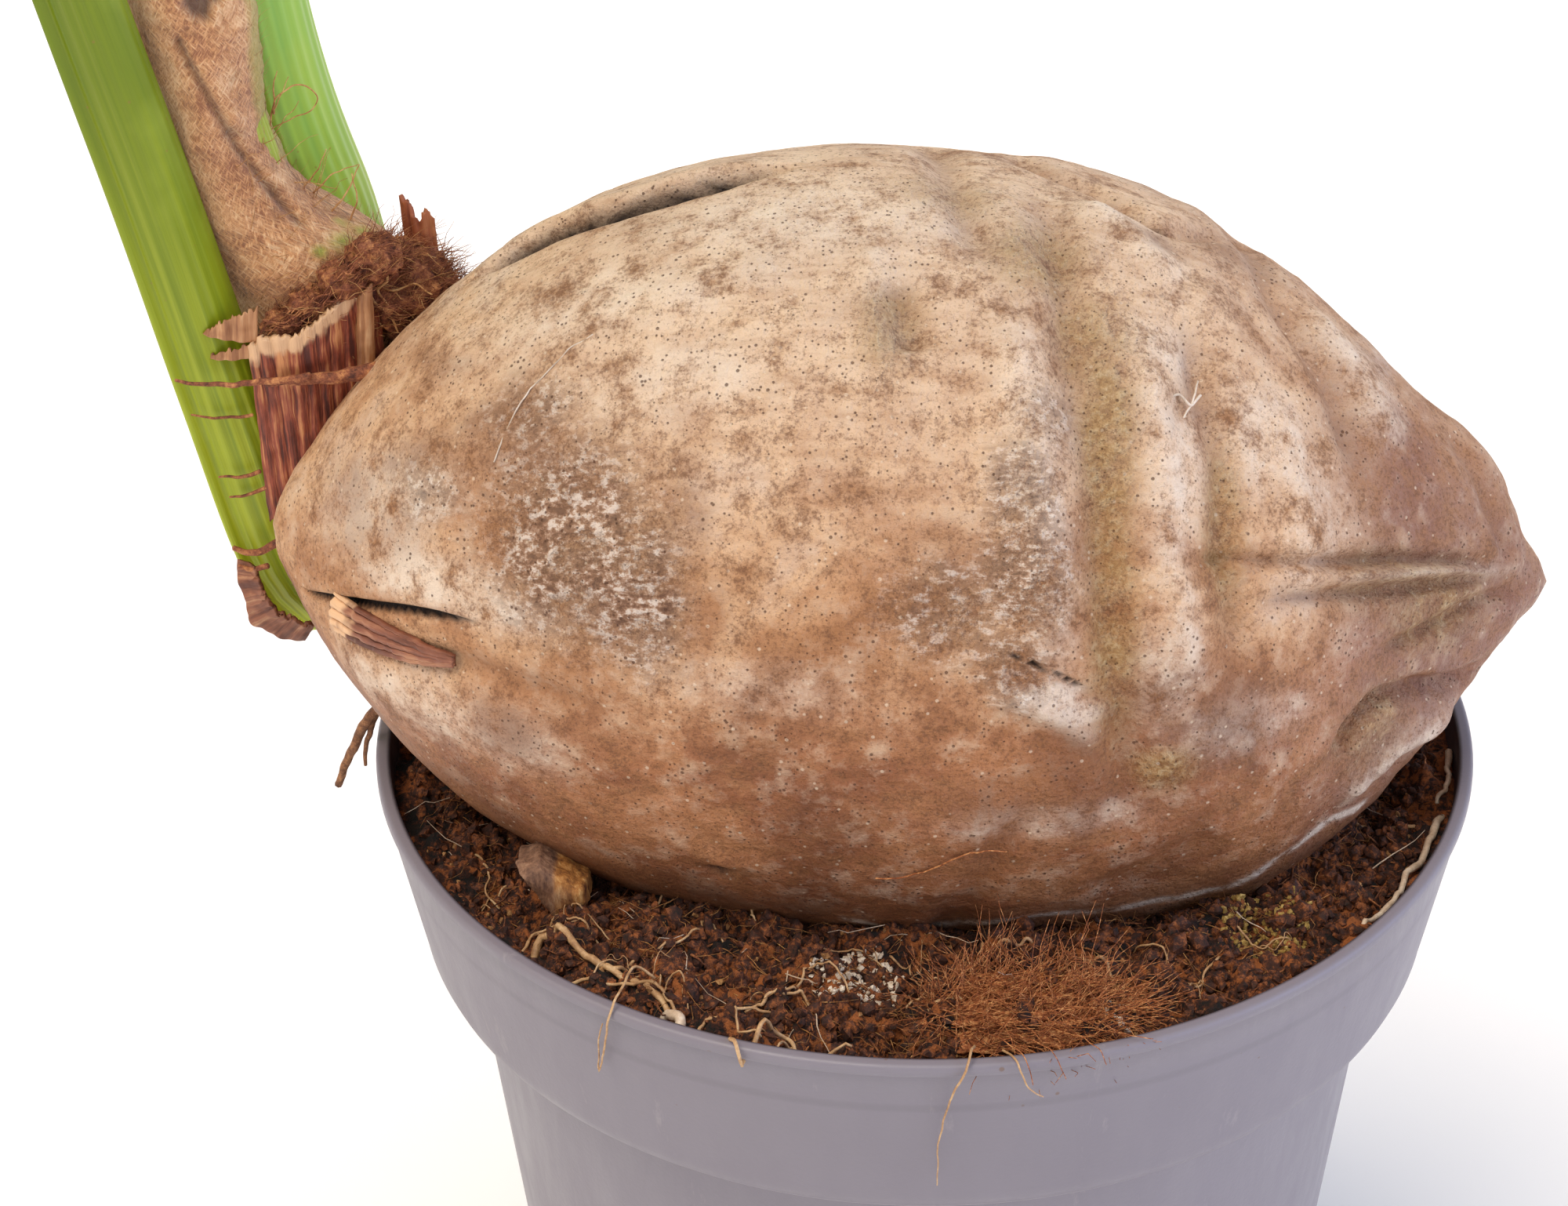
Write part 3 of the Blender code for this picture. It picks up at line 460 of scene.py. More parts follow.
def living_leaf(name, base, middle, stripe, rib_mm, roughness):
    """Living palm leaf: waxy, striped along its length by parallel veins, paler at its foot."""
    material, tree, shader = new_material(name)
    lengths = add(tree, "UVMap", uv_map="UVMap")
    here = add(tree, "TexCoord")
    along = add(tree, "SeparateXYZ", Vector=lengths, out="Y")
    vein_way = add(tree, "Mapping", Vector=lengths, Scale=(1.0, 0.012, 1.0))
    veins = add(tree, "TexNoise", Vector=vein_way, Scale=every(rib_mm), Detail=3.0, Roughness=0.6)
    cloud = add(tree, "TexNoise", Vector=here, Scale=every(28), Detail=4.0)
    rising = add(tree, "MapRange", Value=along, From_Min=0.0, From_Max=0.12)
    colour = add(tree, "Mix", {0: rising, 6: base, 7: middle})
    shade = add(tree, "MapRange", Value=veins, From_Min=0.42, From_Max=0.70, To_Max=0.60)
    colour = add(tree, "Mix", {0: shade, 6: colour, 7: stripe})
    fade = add(tree, "MapRange", Value=cloud, From_Min=0.52, From_Max=0.75, To_Max=0.35)
    colour = add(tree, "Mix", {0: fade, 6: colour, 7: "#b9c94a"})
    flecks = add(tree, "TexVoronoi", Vector=here, Scale=every(5))
    fleck = add(tree, "MapRange", Value=flecks, From_Min=0.07, From_Max=0.04, To_Max=0.55)
    colour = add(tree, "Mix", {0: fleck, 6: colour, 7: "#8a6a35"})
    bump = add(tree, "Bump", Height=veins, Strength=0.35, Distance=0.0006)
    feed(shader, Base_Color=colour, Normal=bump, Roughness=roughness, Specular_IOR_Level=0.35,
        Subsurface_Weight=0.12, Subsurface_Radius=(0.002, 0.003, 0.001), Subsurface_Scale=1.0)
    return material


def leaf_base_cloth():
    """Woven leaf-base fibre, dried: crossing pinkish-brown threads with dark gaps and loose ends, darkened by
    wear and by painted shade in its crease and tear.
    """
    material, tree, shader = new_material("Dried leaf-base fibre cloth")
    lengths = add(tree, "UVMap", uv_map="UVMap")
    worn = add(tree, "Attribute", attribute_name="worn")
    threads = []
    for turn in (0.52, -0.60):
        way = add(tree, "Mapping", Vector=lengths, Rotation=(0.0, 0.0, turn), Scale=(1.0, 6.0, 1.0),
            vector_type="TEXTURE")
        threads.append(add(tree, "TexNoise", Vector=way, Scale=every(0.34), Detail=4.0, Roughness=0.65))
    weave = add(tree, "Math", {0: threads[0], 1: threads[1]}, operation="MAXIMUM")
    patch = add(tree, "TexNoise", Vector=lengths, Scale=every(9), Detail=4.0)
    both = add(tree, "Math", {0: patch, 1: 0.45, 2: weave}, operation="MULTIPLY_ADD")
    colour = add(tree, "ValToRGB", Fac=both, stops=[(0.64, "#9c6139"), (0.76, "#d69a64"),
        (0.90, "#f4cb9a")])
    # darker where worn, and painted shade in the crease and the tear
    colour = add(tree, "Mix", {0: worn, 6: colour, 7: "#4a2c1c"})
    green = add(tree, "Attribute", attribute_name="green")
    colour = add(tree, "Mix", {0: green, 6: colour, 7: "#a9ad3f"})
    bump = add(tree, "Bump", Height=weave, Strength=1.0, Distance=0.0009)
    feed(shader, Base_Color=colour, Normal=bump, Roughness=0.85, Sheen_Weight=0.25, Sheen_Roughness=0.6)
    return material


def dried_scale(name, dark, middle, light, stripe_mm=1.1):
    """Dried scale leaf: papery, reddish brown, streaked along its length by paler fibres."""
    material, tree, shader = new_material(name)
    lengths = add(tree, "UVMap", uv_map="UVMap")
    torn = add(tree, "Attribute", attribute_name="torn")
    way = add(tree, "Mapping", Vector=lengths, Scale=(1.0, 0.07, 1.0))
    streaks = add(tree, "TexNoise", Vector=way, Scale=every(stripe_mm), Detail=5.0, Roughness=0.62)
    patch = add(tree, "TexNoise", Vector=lengths, Scale=every(7), Detail=3.0)
    both = add(tree, "Math", {0: patch, 1: 0.5, 2: streaks}, operation="MULTIPLY_ADD")
    colour = add(tree, "ValToRGB", Fac=both, stops=[(0.62, dark), (0.77, middle), (0.92, light)])
    colour = add(tree, "Mix", {0: torn, 6: colour, 7: "#dcb48c"})
    bump = add(tree, "Bump", Height=streaks, Strength=0.8, Distance=0.0006)
    feed(shader, Base_Color=colour, Normal=bump, Roughness=0.58)
    return material


def living_stem():
    """Young stem: glossy yellow-green, ringed with brown scars where scales have come away."""
    material, tree, shader = new_material("Living palm stem")
    lengths = add(tree, "UVMap", uv_map="UVMap")
    way = add(tree, "Mapping", Vector=lengths, Scale=(0.2, 1.0, 1.0))
    rings = add(tree, "TexNoise", Vector=way, Scale=every(6), Detail=5.0, Roughness=0.65, Distortion=0.5)
    colour = add(tree, "ValToRGB", Fac=rings, stops=[(0.34, "#7c8a22"), (0.50, "#b3b53a"),
        (0.58, "#c6b455"), (0.66, "#7a4527")])
    bump = add(tree, "Bump", Height=rings, Strength=0.5, Distance=0.0006)
    feed(shader, Base_Color=colour, Normal=bump, Roughness=0.38)
    return material


def split_husk():
    """A splinter of husk: grey-brown skin on its back, bare orange-tan fibre where it broke."""
    material, tree, shader = new_material("Broken husk splinter")
    here = add(tree, "TexCoord")
    broken = add(tree, "Attribute", attribute_name="broken")
    way = add(tree, "Mapping", Vector=here, Scale=(1.0, 1.0, 0.3))
    fibres = add(tree, "TexNoise", Vector=way, Scale=every(1.6), Detail=5.0, Roughness=0.7)
    skin = add(tree, "ValToRGB", Fac=fibres, stops=[(0.35, "#4f3427"), (0.55, "#84614a"),
        (0.70, "#a5846a")])
    bare = add(tree, "ValToRGB", Fac=fibres, stops=[(0.34, "#5f3416"), (0.52, "#ad7234"),
        (0.68, "#d9a866")])
    colour = add(tree, "Mix", {0: broken, 6: skin, 7: bare})
    bump = add(tree, "Bump", Height=fibres, Strength=0.8, Distance=0.0007)
    feed(shader, Base_Color=colour, Normal=bump, Roughness=0.7)
    return material


def studio_paper():
    """Matt white paper sweep: no pattern but a trace of tone, so the palm stands out."""
    material, tree, shader = new_material("Matt white studio paper")
    here = add(tree, "TexCoord")
    cloud = add(tree, "TexNoise", Vector=here, Scale=1.2)
    colour = add(tree, "Mix", {0: cloud, 6: "#f6f6f6", 7: "#fafafa"})
    feed(shader, Base_Color=colour, Roughness=0.9, Specular_IOR_Level=0.1)
    return material


# ---------------------------------------------------------------- sizes and colours that a user changes

def colour_property(name, text, code):
    return FloatVectorProperty(name=name, description=text, default=linear(code), size=4, min=0.0, max=1.0,
                               subtype="COLOR")


def length_property(name, text, value):
    return FloatProperty(name=name, description=text, default=value, min=0.0, unit="LENGTH",
                         subtype="DISTANCE", precision=4)


class PalmHuskLook(bpy.types.PropertyGroup):
    """Sizes and colours of the husk."""
    relief: FloatProperty(name="Relief", description="Depth of folds and cracks, 1 as grown", default=1.0,
                          min=0.0, max=1.5, subtype="FACTOR")
    rows: IntProperty(name="Rows", description="Rings of points along the husk", default=250, min=40, max=260)
    around: IntProperty(name="Around", description="Points round the husk", default=372, min=60, max=380)
    husk_cream: colour_property("Cream", "Rubbed skin on the upper side", "#d4ab84")
    husk_tan: colour_property("Tan", "Most of the skin", "#b98860")
    husk_brown: colour_property("Brown", "Weathered skin", "#97653f")
    husk_grey: colour_property("Grey", "Bleached skin", "#cfb4a0")


class PalmPotLook(bpy.types.PropertyGroup):
    """Sizes and colours of the pot."""
    steps: IntProperty(name="Steps", description="Facets round the pot", default=192, min=48, max=256)
    lip: length_property("Lip", "How far the lip stands out over the collar", 0.0009)
    pot_grey: colour_property("Grey", "Most of the plastic", "#7e7a84")
    pot_shade: colour_property("Darker grey", "Clouds in the plastic", "#75707a")


class PalmMixLook(bpy.types.PropertyGroup):
    """Sizes, amounts and colours of the potting mix and what lies on it."""
    clods: length_property("Clods", "Height of the lumps in the mix", 0.0048)
    crumb_size: length_property("Crumb size", "Largest crumb", 0.0023)
    crumb_density: FloatProperty(name="Crumbs", description="Crumbs in a square metre", default=225000.0,
                                 min=0.0)
    hair_density: FloatProperty(name="Root hairs", description="Root hairs in a square metre",
                                default=160000.0, min=0.0)
    mix_brown: colour_property("Brown", "Dry crumbs of the mix", "#3f1c0c")


class PalmShootLook(bpy.types.PropertyGroup):
    """Sizes and amounts of the shoot, the leaves and the fibres round them."""
    folds: IntProperty(name="Folds", description="Pleats in half a leaf blade", default=13, min=4, max=24)
    pleat: length_property("Pleat depth", "Depth of a pleat of the blade", 0.0017)
    blade: length_property("Blade thickness", "Thickness of a leaf blade", 0.0007)
    fringe_density: FloatProperty(name="Fringe fibres", description="Fibres in a square metre of the fringe",
                                  default=950000.0, min=0.0)


class PalmStageLook(bpy.types.PropertyGroup):
    """The camera's lens and the strength of the studio's lights."""
    lens: FloatProperty(name="Lens", description="Focal length on a 36 mm sensor", default=81.93, min=10.0,
                        unit="CAMERA")
    ambient: FloatProperty(name="Ambient", description="Strength of the light from all round", default=0.56,
                           min=0.0)
    key: FloatProperty(name="Key light", description="Strength of the soft light from above", default=2.8,
                       min=0.0)
    fill: FloatProperty(name="Fill light", description="Strength of the soft light from the right",
                        default=2.50, min=0.0)


# ---------------------------------------------------------------- coconut

STALK_END = np.array([-0.1219, 0.0, RIM_HEIGHT + 0.0432])
HUSK_LENGTH = 0.2356
HUSK_RADIUS = 0.0739
HUSK_WIDEST = 0.511
HUSK_TILT = 0.0117
HUSK_ARCH = 0.0026
HUSK_NUB = 0.0030
FRONT_SHARE = 0.66  # share of the points that lie on the husk's front and top

# Furrows (-) and folds (+): stations as (share of the length, degrees; 90 is the top, 180 the front),
# then half width and height in millimetres
FOLDS = [
    ([(0.596, 84), (0.611, 96), (0.619, 106), (0.624, 118), (0.630, 128), (0.642, 138), (0.646, 149),
      (0.652, 160), (0.662, 172), (0.667, 184), (0.655, 196)], 3.6, -2.7),
    ([(0.700, 108), (0.716, 118), (0.724, 126), (0.731, 136), (0.734, 148), (0.743, 160),
      (0.747, 171)], 3.0, -2.3),
    ([(0.668, 112), (0.681, 128), (0.689, 144), (0.699, 158), (0.708, 172)], 3.6, 1.7),
    ([(0.576, 112), (0.588, 128), (0.602, 144), (0.607, 158), (0.614, 172)], 4.2, 1.5),
    ([(0.776, 118), (0.787, 132), (0.794, 146), (0.800, 160)], 4.5, 1.1),
    ([(0.687, 132), (0.737, 112)], 2.2, -0.8),
    ([(0.497, 112), (0.503, 118), (0.510, 124)], 3.4, -2.2),
    ([(0.478, 104), (0.484, 114), (0.497, 127)], 3.0, 0.8),
    ([(0.512, 62), (0.525, 71), (0.540, 88), (0.553, 101), (0.570, 110)], 3.6, -1.7),
    ([(0.585, 66), (0.600, 74), (0.650, 81), (0.695, 89), (0.730, 84), (0.760, 76)], 2.6, -1.9),
    ([(0.630, 88), (0.672, 97), (0.705, 104)], 4.0, 1.4),
    ([(0.751, 60), (0.765, 78), (0.779, 92), (0.818, 107), (0.838, 124), (0.846, 138)], 4.0, -1.9),
    ([(0.800, 92), (0.845, 104), (0.868, 120)], 5.0, 1.3),
    ([(0.680, 150), (0.740, 149), (0.818, 148), (0.870, 146), (0.925, 144), (0.975, 143)], 1.4, -1.9),
    ([(0.740, 157), (0.788, 155), (0.840, 154), (0.884, 153), (0.940, 149), (0.985, 145)], 1.5, -1.9),
    ([(0.800, 151.5), (0.860, 150), (0.920, 147), (0.975, 144)], 1.2, 1.5),
    ([(0.850, 170), (0.895, 168), (0.945, 160), (0.985, 155)], 1.6, -1.7),
    ([(0.820, 196), (0.849, 184), (0.889, 186), (0.925, 198), (0.958, 212)], 2.2, -3.2),
    ([(0.830, 206), (0.880, 204), (0.930, 214)], 4.0, 1.9),
    ([(0.905, 96), (0.940, 118), (0.965, 138)], 2.6, -1.4),
    ([(0.860, 60), (0.915, 66), (0.965, 78)], 2.4, -1.3),
    ([(0.560, 163), (0.604, 166), (0.655, 171)], 1.2, -1.0),
    ([(0.560, 168), (0.604, 171), (0.650, 177)], 2.0, 1.1),
    ([(0.040, 187), (0.116, 182), (0.183, 177), (0.244, 177), (0.300, 178)], 2.2, -1.2),
    ([(0.060, 200), (0.120, 195), (0.190, 190), (0.270, 189)], 6.0, 1.0),
    ([(0.540, 224), (0.560, 204), (0.585, 192), (0.625, 186)], 3.0, -1.3),
    ([(0.520, 228), (0.533, 214), (0.540, 204)], 2.0, -1.0),
    ([(0.300, 118), (0.360, 112), (0.430, 110)], 5.0, 0.6),
    ([(0.160, 152), (0.230, 146), (0.320, 146)], 7.0, -0.5),
    ([(0.740, 196), (0.690, 204), (0.640, 210)], 5.0, -0.8),
    # unseen back, wrinkled in the same way
    ([(0.590, 60), (0.606, 36), (0.620, 12), (0.615, -14), (0.600, -38)], 4.0, -2.0),
    ([(0.690, 58), (0.706, 34), (0.716, 10), (0.705, -18)], 4.0, -1.6),
    ([(0.300, 22), (0.400, 16), (0.520, 18)], 6.0, -0.9),
    ([(0.100, 30), (0.200, 10), (0.330, -6)], 3.0, -1.1),
    ([(0.780, 20), (0.860, 14), (0.950, 10)], 2.2, -1.4),
    ([(0.790, -30), (0.870, -24), (0.950, -16)], 2.4, -1.4),
]
# Splits: stations, half width, depth, and how far the skin behind (+) or before (-) the split is lifted
SPLITS = [
    ([(0.150, 83.0), (0.175, 85.0), (0.195, 86.5), (0.232, 87.2), (0.282, 89.0), (0.336, 89.0), (0.392, 87.0),
      (0.440, 85.0)], 1.9, 5.5, 2.8),
    ([(0.020, 196), (0.043, 189.6), (0.090, 174.6), (0.140, 169.0), (0.175, 167.6),
      (0.212, 167.0)], 0.9, 2.2, 0.9),
    ([(0.660, 86.0), (0.690, 88.5), (0.712, 87.5)], 1.2, 2.0, 0.8),
    ([(0.565, 162.2), (0.604, 165.0), (0.640, 169.0)], 0.28, 0.6, -1.4),
]
# Swellings and hollows: station, degrees, half lengths along and round in millimetres, height
SWELLINGS = [
    (0.16, 221, 34, 24, 3.0), (0.945, 98, 11, 17, 5.4), (0.870, 92, 18, 26, 1.8), (0.30, 125, 40, 30, 0.9),
    (0.52, 145, 30, 28, -0.7), (0.70, 62, 14, 18, 1.6), (0.63, 66, 11, 14, 1.2), (0.585, 84, 9, 12, -1.0),
    (0.46, 80, 22, 20, 1.0), (0.368, 206.4, 2.3, 1.5, -3.6), (0.368, 203.0, 5.0, 2.0, 0.8),
    (0.74, 212, 16, 14, -1.4), (0.86, 222, 12, 12, 1.4), (0.545, 133, 9, 8, -0.9), (0.775, 78, 14, 14, 0.9),
    (0.35, 30, 34, 34, 1.4), (0.60, -20, 30, 30, -1.0), (0.82, 40, 22, 22, -1.5),
]
# Patches of colour of each kind: station, degrees, half lengths along and round in millimetres, strength
PATCHES = {
    "crust": [(0.268, 151, 15, 17, 1.0), (0.320, 157, 7, 15, 0.9), (0.588, 142, 6, 9, 0.8),
        (0.592, 153, 8, 10, 1.0), (0.582, 165, 6, 7, 0.9), (0.533, 158, 10, 8, 0.85),
        (0.235, 130, 9, 7, 0.55), (0.150, 141, 8, 6, 0.45), (0.605, 131, 5, 6, 0.5)],
    "stain": [(0.300, 160, 17, 9, 0.75), (0.211, 187, 6, 5, 0.85), (0.250, 137, 12, 4, 0.5),
        (0.540, 152, 7, 8, 0.45), (0.626, 181, 8, 12, 0.6), (0.350, 148, 4, 14, 0.5),
        (0.490, 119, 4, 5, 0.35), (0.690, 96, 5, 4, 0.6), (0.740, 88, 7, 4, 0.5), (0.105, 150, 12, 6, 0.35),
        (0.145, 133, 12, 4, 0.6), (0.085, 138, 6, 7, 0.5), (0.205, 130, 9, 4, 0.5),
        (0.750, 172, 6, 10, 0.45), (0.580, 186, 14, 6, 0.5)],
    "pale": [(0.110, 141, 13, 9, 0.75), (0.150, 160, 14, 5, 0.80), (0.120, 152, 9, 7, 0.55),
        (0.200, 164, 12, 4, 0.70), (0.275, 112, 20, 9, 0.45), (0.420, 100, 22, 11, 0.45),
        (0.700, 136, 5, 13, 0.55), (0.760, 128, 8, 10, 0.45), (0.690, 118, 7, 5, 0.55),
        (0.690, 165, 6, 12, 0.40), (0.520, 100, 18, 9, 0.35), (0.330, 128, 16, 8, 0.35),
        (0.800, 140, 8, 14, 0.30), (0.610, 190, 16, 4, 0.35), (0.400, 170, 16, 5, 0.25),
        (0.755, 176, 12, 6, 0.35), (0.604, 168.5, 6, 2.2, 1.3), (0.628, 171.5, 5, 2, 1.2),
        (0.640, 132, 5, 12, 0.35)],
    "dust": [(0.492, 120, 5, 8, 0.55), (0.600, 105, 8, 9, 0.55), (0.640, 118, 7, 8, 0.50),
        (0.905, 160, 9, 8, 0.55), (0.860, 152, 9, 6, 0.40), (0.695, 182, 5, 4, 0.70),
        (0.860, 190, 7, 9, 0.35), (0.540, 93, 10, 6, 0.30), (0.655, 160, 4, 20, 0.65),
        (0.650, 135, 4, 22, 0.75), (0.733, 145, 3.4, 14, 0.55)],
}
# Lime that dried along the edge of the damp underside, near the pointed end
LIME_LINE = [(0.857, 216.6), (0.833, 212.8), (0.796, 212.6), (0.749, 216.5), (0.700, 216.6), (0.652, 216.5),
             (0.592, 214.4), (0.521, 218.5), (0.461, 215.6)]
# Where the bleached upper skin gives way to the dark underside: share of the length, degrees over level
TONE_SHARES = (0.0, 0.10, 0.20, 0.30, 0.42, 0.55, 0.66, 0.78, 0.88, 1.0)
TONE_ANGLES = (-30, -20, -6, 2, 7, 9, 11, 14, 22, 30)


def husk_radius(along):
    before = np.clip((HUSK_WIDEST - along) / HUSK_WIDEST, 0.0, 1.0)
    after = np.clip((along - HUSK_WIDEST) / (1 - HUSK_WIDEST), 0.0, 1.0)
    left = np.maximum(1 - before ** 2, 0.0) ** (0.46 + 0.325 * before)
    right = np.maximum(1 - after ** 2, 0.0) ** (0.50 + 0.385 * after)
    return HUSK_RADIUS * np.where(along < HUSK_WIDEST, left, right)


def husk_point(along, turn):
    """Points of the smooth husk; turn 0 faces back, a quarter faces up, a half faces the front."""
    radius = husk_radius(along) * (1 + 0.012 * np.cos(3 * (turn - math.radians(-4))))
    near = np.exp(-(((along - 0.78) / 0.10) ** 2))
    radius = radius + 0.0045 * near * np.maximum(np.cos(turn - math.radians(232)), 0.0) ** 3
    rise = 4 * HUSK_ARCH * along * (1 - along) - HUSK_TILT * along
    return STALK_END + np.stack([HUSK_LENGTH * along, radius * np.cos(turn),
                                 rise + radius * np.sin(turn)], axis=-1)


def husk_normal(along, turn):
    step = 0.004
    along = np.clip(along, 0.012, 0.988)
    length_way = husk_point(along + step, turn) - husk_point(along - step, turn)
    round_way = husk_point(along, turn + step) - husk_point(along, turn - step)
    return unit(np.cross(round_way, length_way))


def on_husk(stations, lift=0.0):
    """Points over the husk's skin at stations of (share of the length, degrees)."""
    along, turn = np.array(stations, float).T
    turn = np.radians(turn)
    return husk_point(along, turn) + husk_normal(along, turn) * lift


def reach_of(points, line):
    """Distance from each point to a line, the share along it of the nearest spot, and that spot's way on."""
    best = np.full(len(points), 1e9)
    share = np.zeros(len(points))
    offset = np.zeros((len(points), 3))
    way = np.zeros((len(points), 3))
    for index, (start, end) in enumerate(zip(line, line[1:])):
        step = end - start
        t = np.clip((points - start) @ step / step.dot(step), 0.0, 1.0)
        gap = points - (start + t[:, None] * step)
        far = np.linalg.norm(gap, axis=1)
        closer = far < best
        best[closer] = far[closer]
        share[closer] = (index + t[closer]) / (len(line) - 1)
        offset[closer] = gap[closer]
        way[closer] = step
    return best, share, offset, way


def husk_relief(points, normals, along, turn, strength):
    """Height of the husk's skin over the smooth husk, in metres, and what lies on it, with painted shade in
    its splits and furrows and painted highlight on its folds.
    """
    height = np.zeros(len(points))
    marks = {name: np.zeros(len(points)) for name in ("dust", "crust", "pale", "stain", "gap")}
    for stations, width, depth in FOLDS:
        line = Route(on_husk(stations)).at(np.linspace(0, 1, 18))
        far, share, _, _ = reach_of(points, line)
        ends = ease(np.minimum(share, 1 - share) * 5)
        profile = np.exp(-(far / (width * MM)) ** 2) * ends
        height += depth * 1.3 * MM * profile
        if depth < 0:
            # painted shade in the furrow, with dirt in it
            marks["stain"] = np.maximum(marks["stain"], 0.42 * profile * min(-depth / 2, 1.0))
        else:
            # painted highlight along the fold's ridge
            marks["pale"] = np.maximum(marks["pale"], 0.50 * profile * min(depth, 1.0))
    for stations, width, depth, lift in SPLITS:
        line = Route(on_husk(stations)).at(np.linspace(0, 1, 24))
        far, share, offset, way = reach_of(points, line)
        ends = ease(np.minimum(share * 3, (1 - share) * 3.5))
        side = np.sign(np.einsum("ij,ij->i", np.cross(way, normals), offset))
        opening = np.exp(-(far / (width * MM * (0.35 + 0.65 * ends))) ** 2) * ends
        raised = ends * np.exp(-(far / (9 * MM)) ** 2) * (side * np.sign(lift) < 0)
        height += -depth * MM * opening + abs(lift) * MM * raised * (1 - opening)
        # painted shade in the split's opening
        marks["gap"] = np.maximum(marks["gap"], ease(opening * 2.6 - 0.50))
    for station, degrees, long, wide, depth in SWELLINGS:
        spread = patch_spread(along, turn, station, degrees, long, wide)
        height += depth * MM * np.exp(-spread)
        if depth < -3:
            # painted shade inside a deep hollow
            marks["gap"] = np.maximum(marks["gap"], ease(1.4 - spread))
    for kind, patches in PATCHES.items():
        for station, degrees, long, wide, amount in patches:
            spread = patch_spread(along, turn, station, degrees, long, wide)
            marks[kind] = np.maximum(marks[kind], amount * np.exp(-spread ** 1.5))
    wrinkled = 0.45 + 0.75 * ease((along - 0.45) / 0.25)
    height += 1.15 * MM * grain(points, 0.040, 1.0, 3) * wrinkled
    height += 0.45 * MM * grain(points, 0.012, 2.0, 3) * wrinkled
    height += 0.16 * MM * grain(points * [0.5, 1, 1], 0.004, 3.0, 3)
    lime = reach_of(points, Route(on_husk(LIME_LINE)).at(np.linspace(0, 1, 40)))[0]
    marks["pale"] = np.maximum(marks["pale"], 1.3 * np.exp(-(lime / (0.9 * MM)) ** 2))
    below = ease((np.degrees(turn) - 207) / 12) * (np.degrees(turn) < 300)
    marks["stain"] = np.maximum(marks["stain"], 0.75 * below * (1 - np.exp(-(lime / (1.5 * MM)) ** 2)))
    crusted = np.clip(marks["crust"] * 1.5, 0, 1)
    height += 0.22 * MM * grain(points, 0.0022, 4.0, 2) * crusted
    dusty = np.clip(marks["dust"] * 1.5, 0, 1)
    height += (0.30 + 0.35 * grain(points, 0.0025, 5.0, 2)) * MM * dusty
    ends = ease(np.minimum(along, 1 - along) / 0.012)
    return height * strength * ends, marks


def patch_spread(along, turn, station, degrees, long, wide):
    """Squared distance from the middle of an oval patch on the husk, which is 1 at its edge."""
    ahead = along * HUSK_LENGTH - station * HUSK_LENGTH
    away = (turn - math.radians(degrees) + math.pi) % math.tau - math.pi
    return (ahead / (long * MM)) ** 2 + (away * np.maximum(husk_radius(along), 0.01) / (wide * MM)) ** 2


def husk_turns(around):
    """Angles round the husk, closer together on its front and top."""
    front = round(around * FRONT_SHARE)
    seen = np.linspace(math.radians(55), math.radians(238), front, endpoint=False)
    behind = np.linspace(math.radians(238), math.radians(415), around - front, endpoint=False)
    return np.concatenate([seen, behind]) % math.tau


def make_coconut(look, material):
    latitudes = np.linspace(0, math.pi, look.rows + 2)[1:-1]
    stations = (1 - np.cos(latitudes)) / 2
    turns = husk_turns(look.around)
    along, turn = (grid.ravel() for grid in np.meshgrid(stations, turns, indexing="ij"))
    smooth = husk_point(along, turn)
    normals = husk_normal(along, turn)
    height, marks = husk_relief(smooth, normals, along, turn, look.relief)
    nub = ease((along - 0.975) / 0.025) * HUSK_NUB
    points = smooth + normals * height[:, None]
    points[:, 0] += nub
    ends = husk_point(np.array([0.0, 1.0]), np.zeros(2))
    ends[1, 0] += HUSK_NUB
    faces = capped_faces(look.rows, look.around)
    piece = make_object("coconut_husk", np.vstack([points, ends]), faces, material)
    face_outwards(piece)

    level = np.degrees(np.arcsin(np.clip(np.sin(turn), -1, 1)))
    edge = np.interp(along, TONE_SHARES, TONE_ANGLES)
    tone = ease((level - edge) / 44 + 0.5)
    far_end = 0.95 * ease((along - 0.77) / 0.11) * (0.55 + 0.45 * ease((70 - np.abs(level - 20)) / 40))
    pad = np.zeros(2)
    for name, values in dict(marks, tone=tone, far_end=far_end).items():
        tip = pad
        if name in ("tone", "far_end"):
            tip = np.array([values[:look.around].mean(), values[-look.around:].mean()])
        paint(piece, name, np.concatenate([values, tip]))
    return settle(piece, "husk", "coconut")


# ---------------------------------------------------------------- pot

POT_WALL = 0.0018
POT_FLOOR = 0.0025
COLLAR_FOOT = RIM_HEIGHT - 0.038
COLLAR_TOP_RADIUS = RIM_RADIUS - 0.0009
COLLAR_FOOT_RADIUS = COLLAR_TOP_RADIUS - 0.0058
BODY_TOP_RADIUS = COLLAR_FOOT_RADIUS - 0.0085
POT_BASE_RADIUS = 0.0745
INNER_BRIM = RIM_RADIUS - 0.0027
LIP_ROUND, BRIM_ROUND = 0.0009, 0.0005  # radii of the lip's outer and inner edges


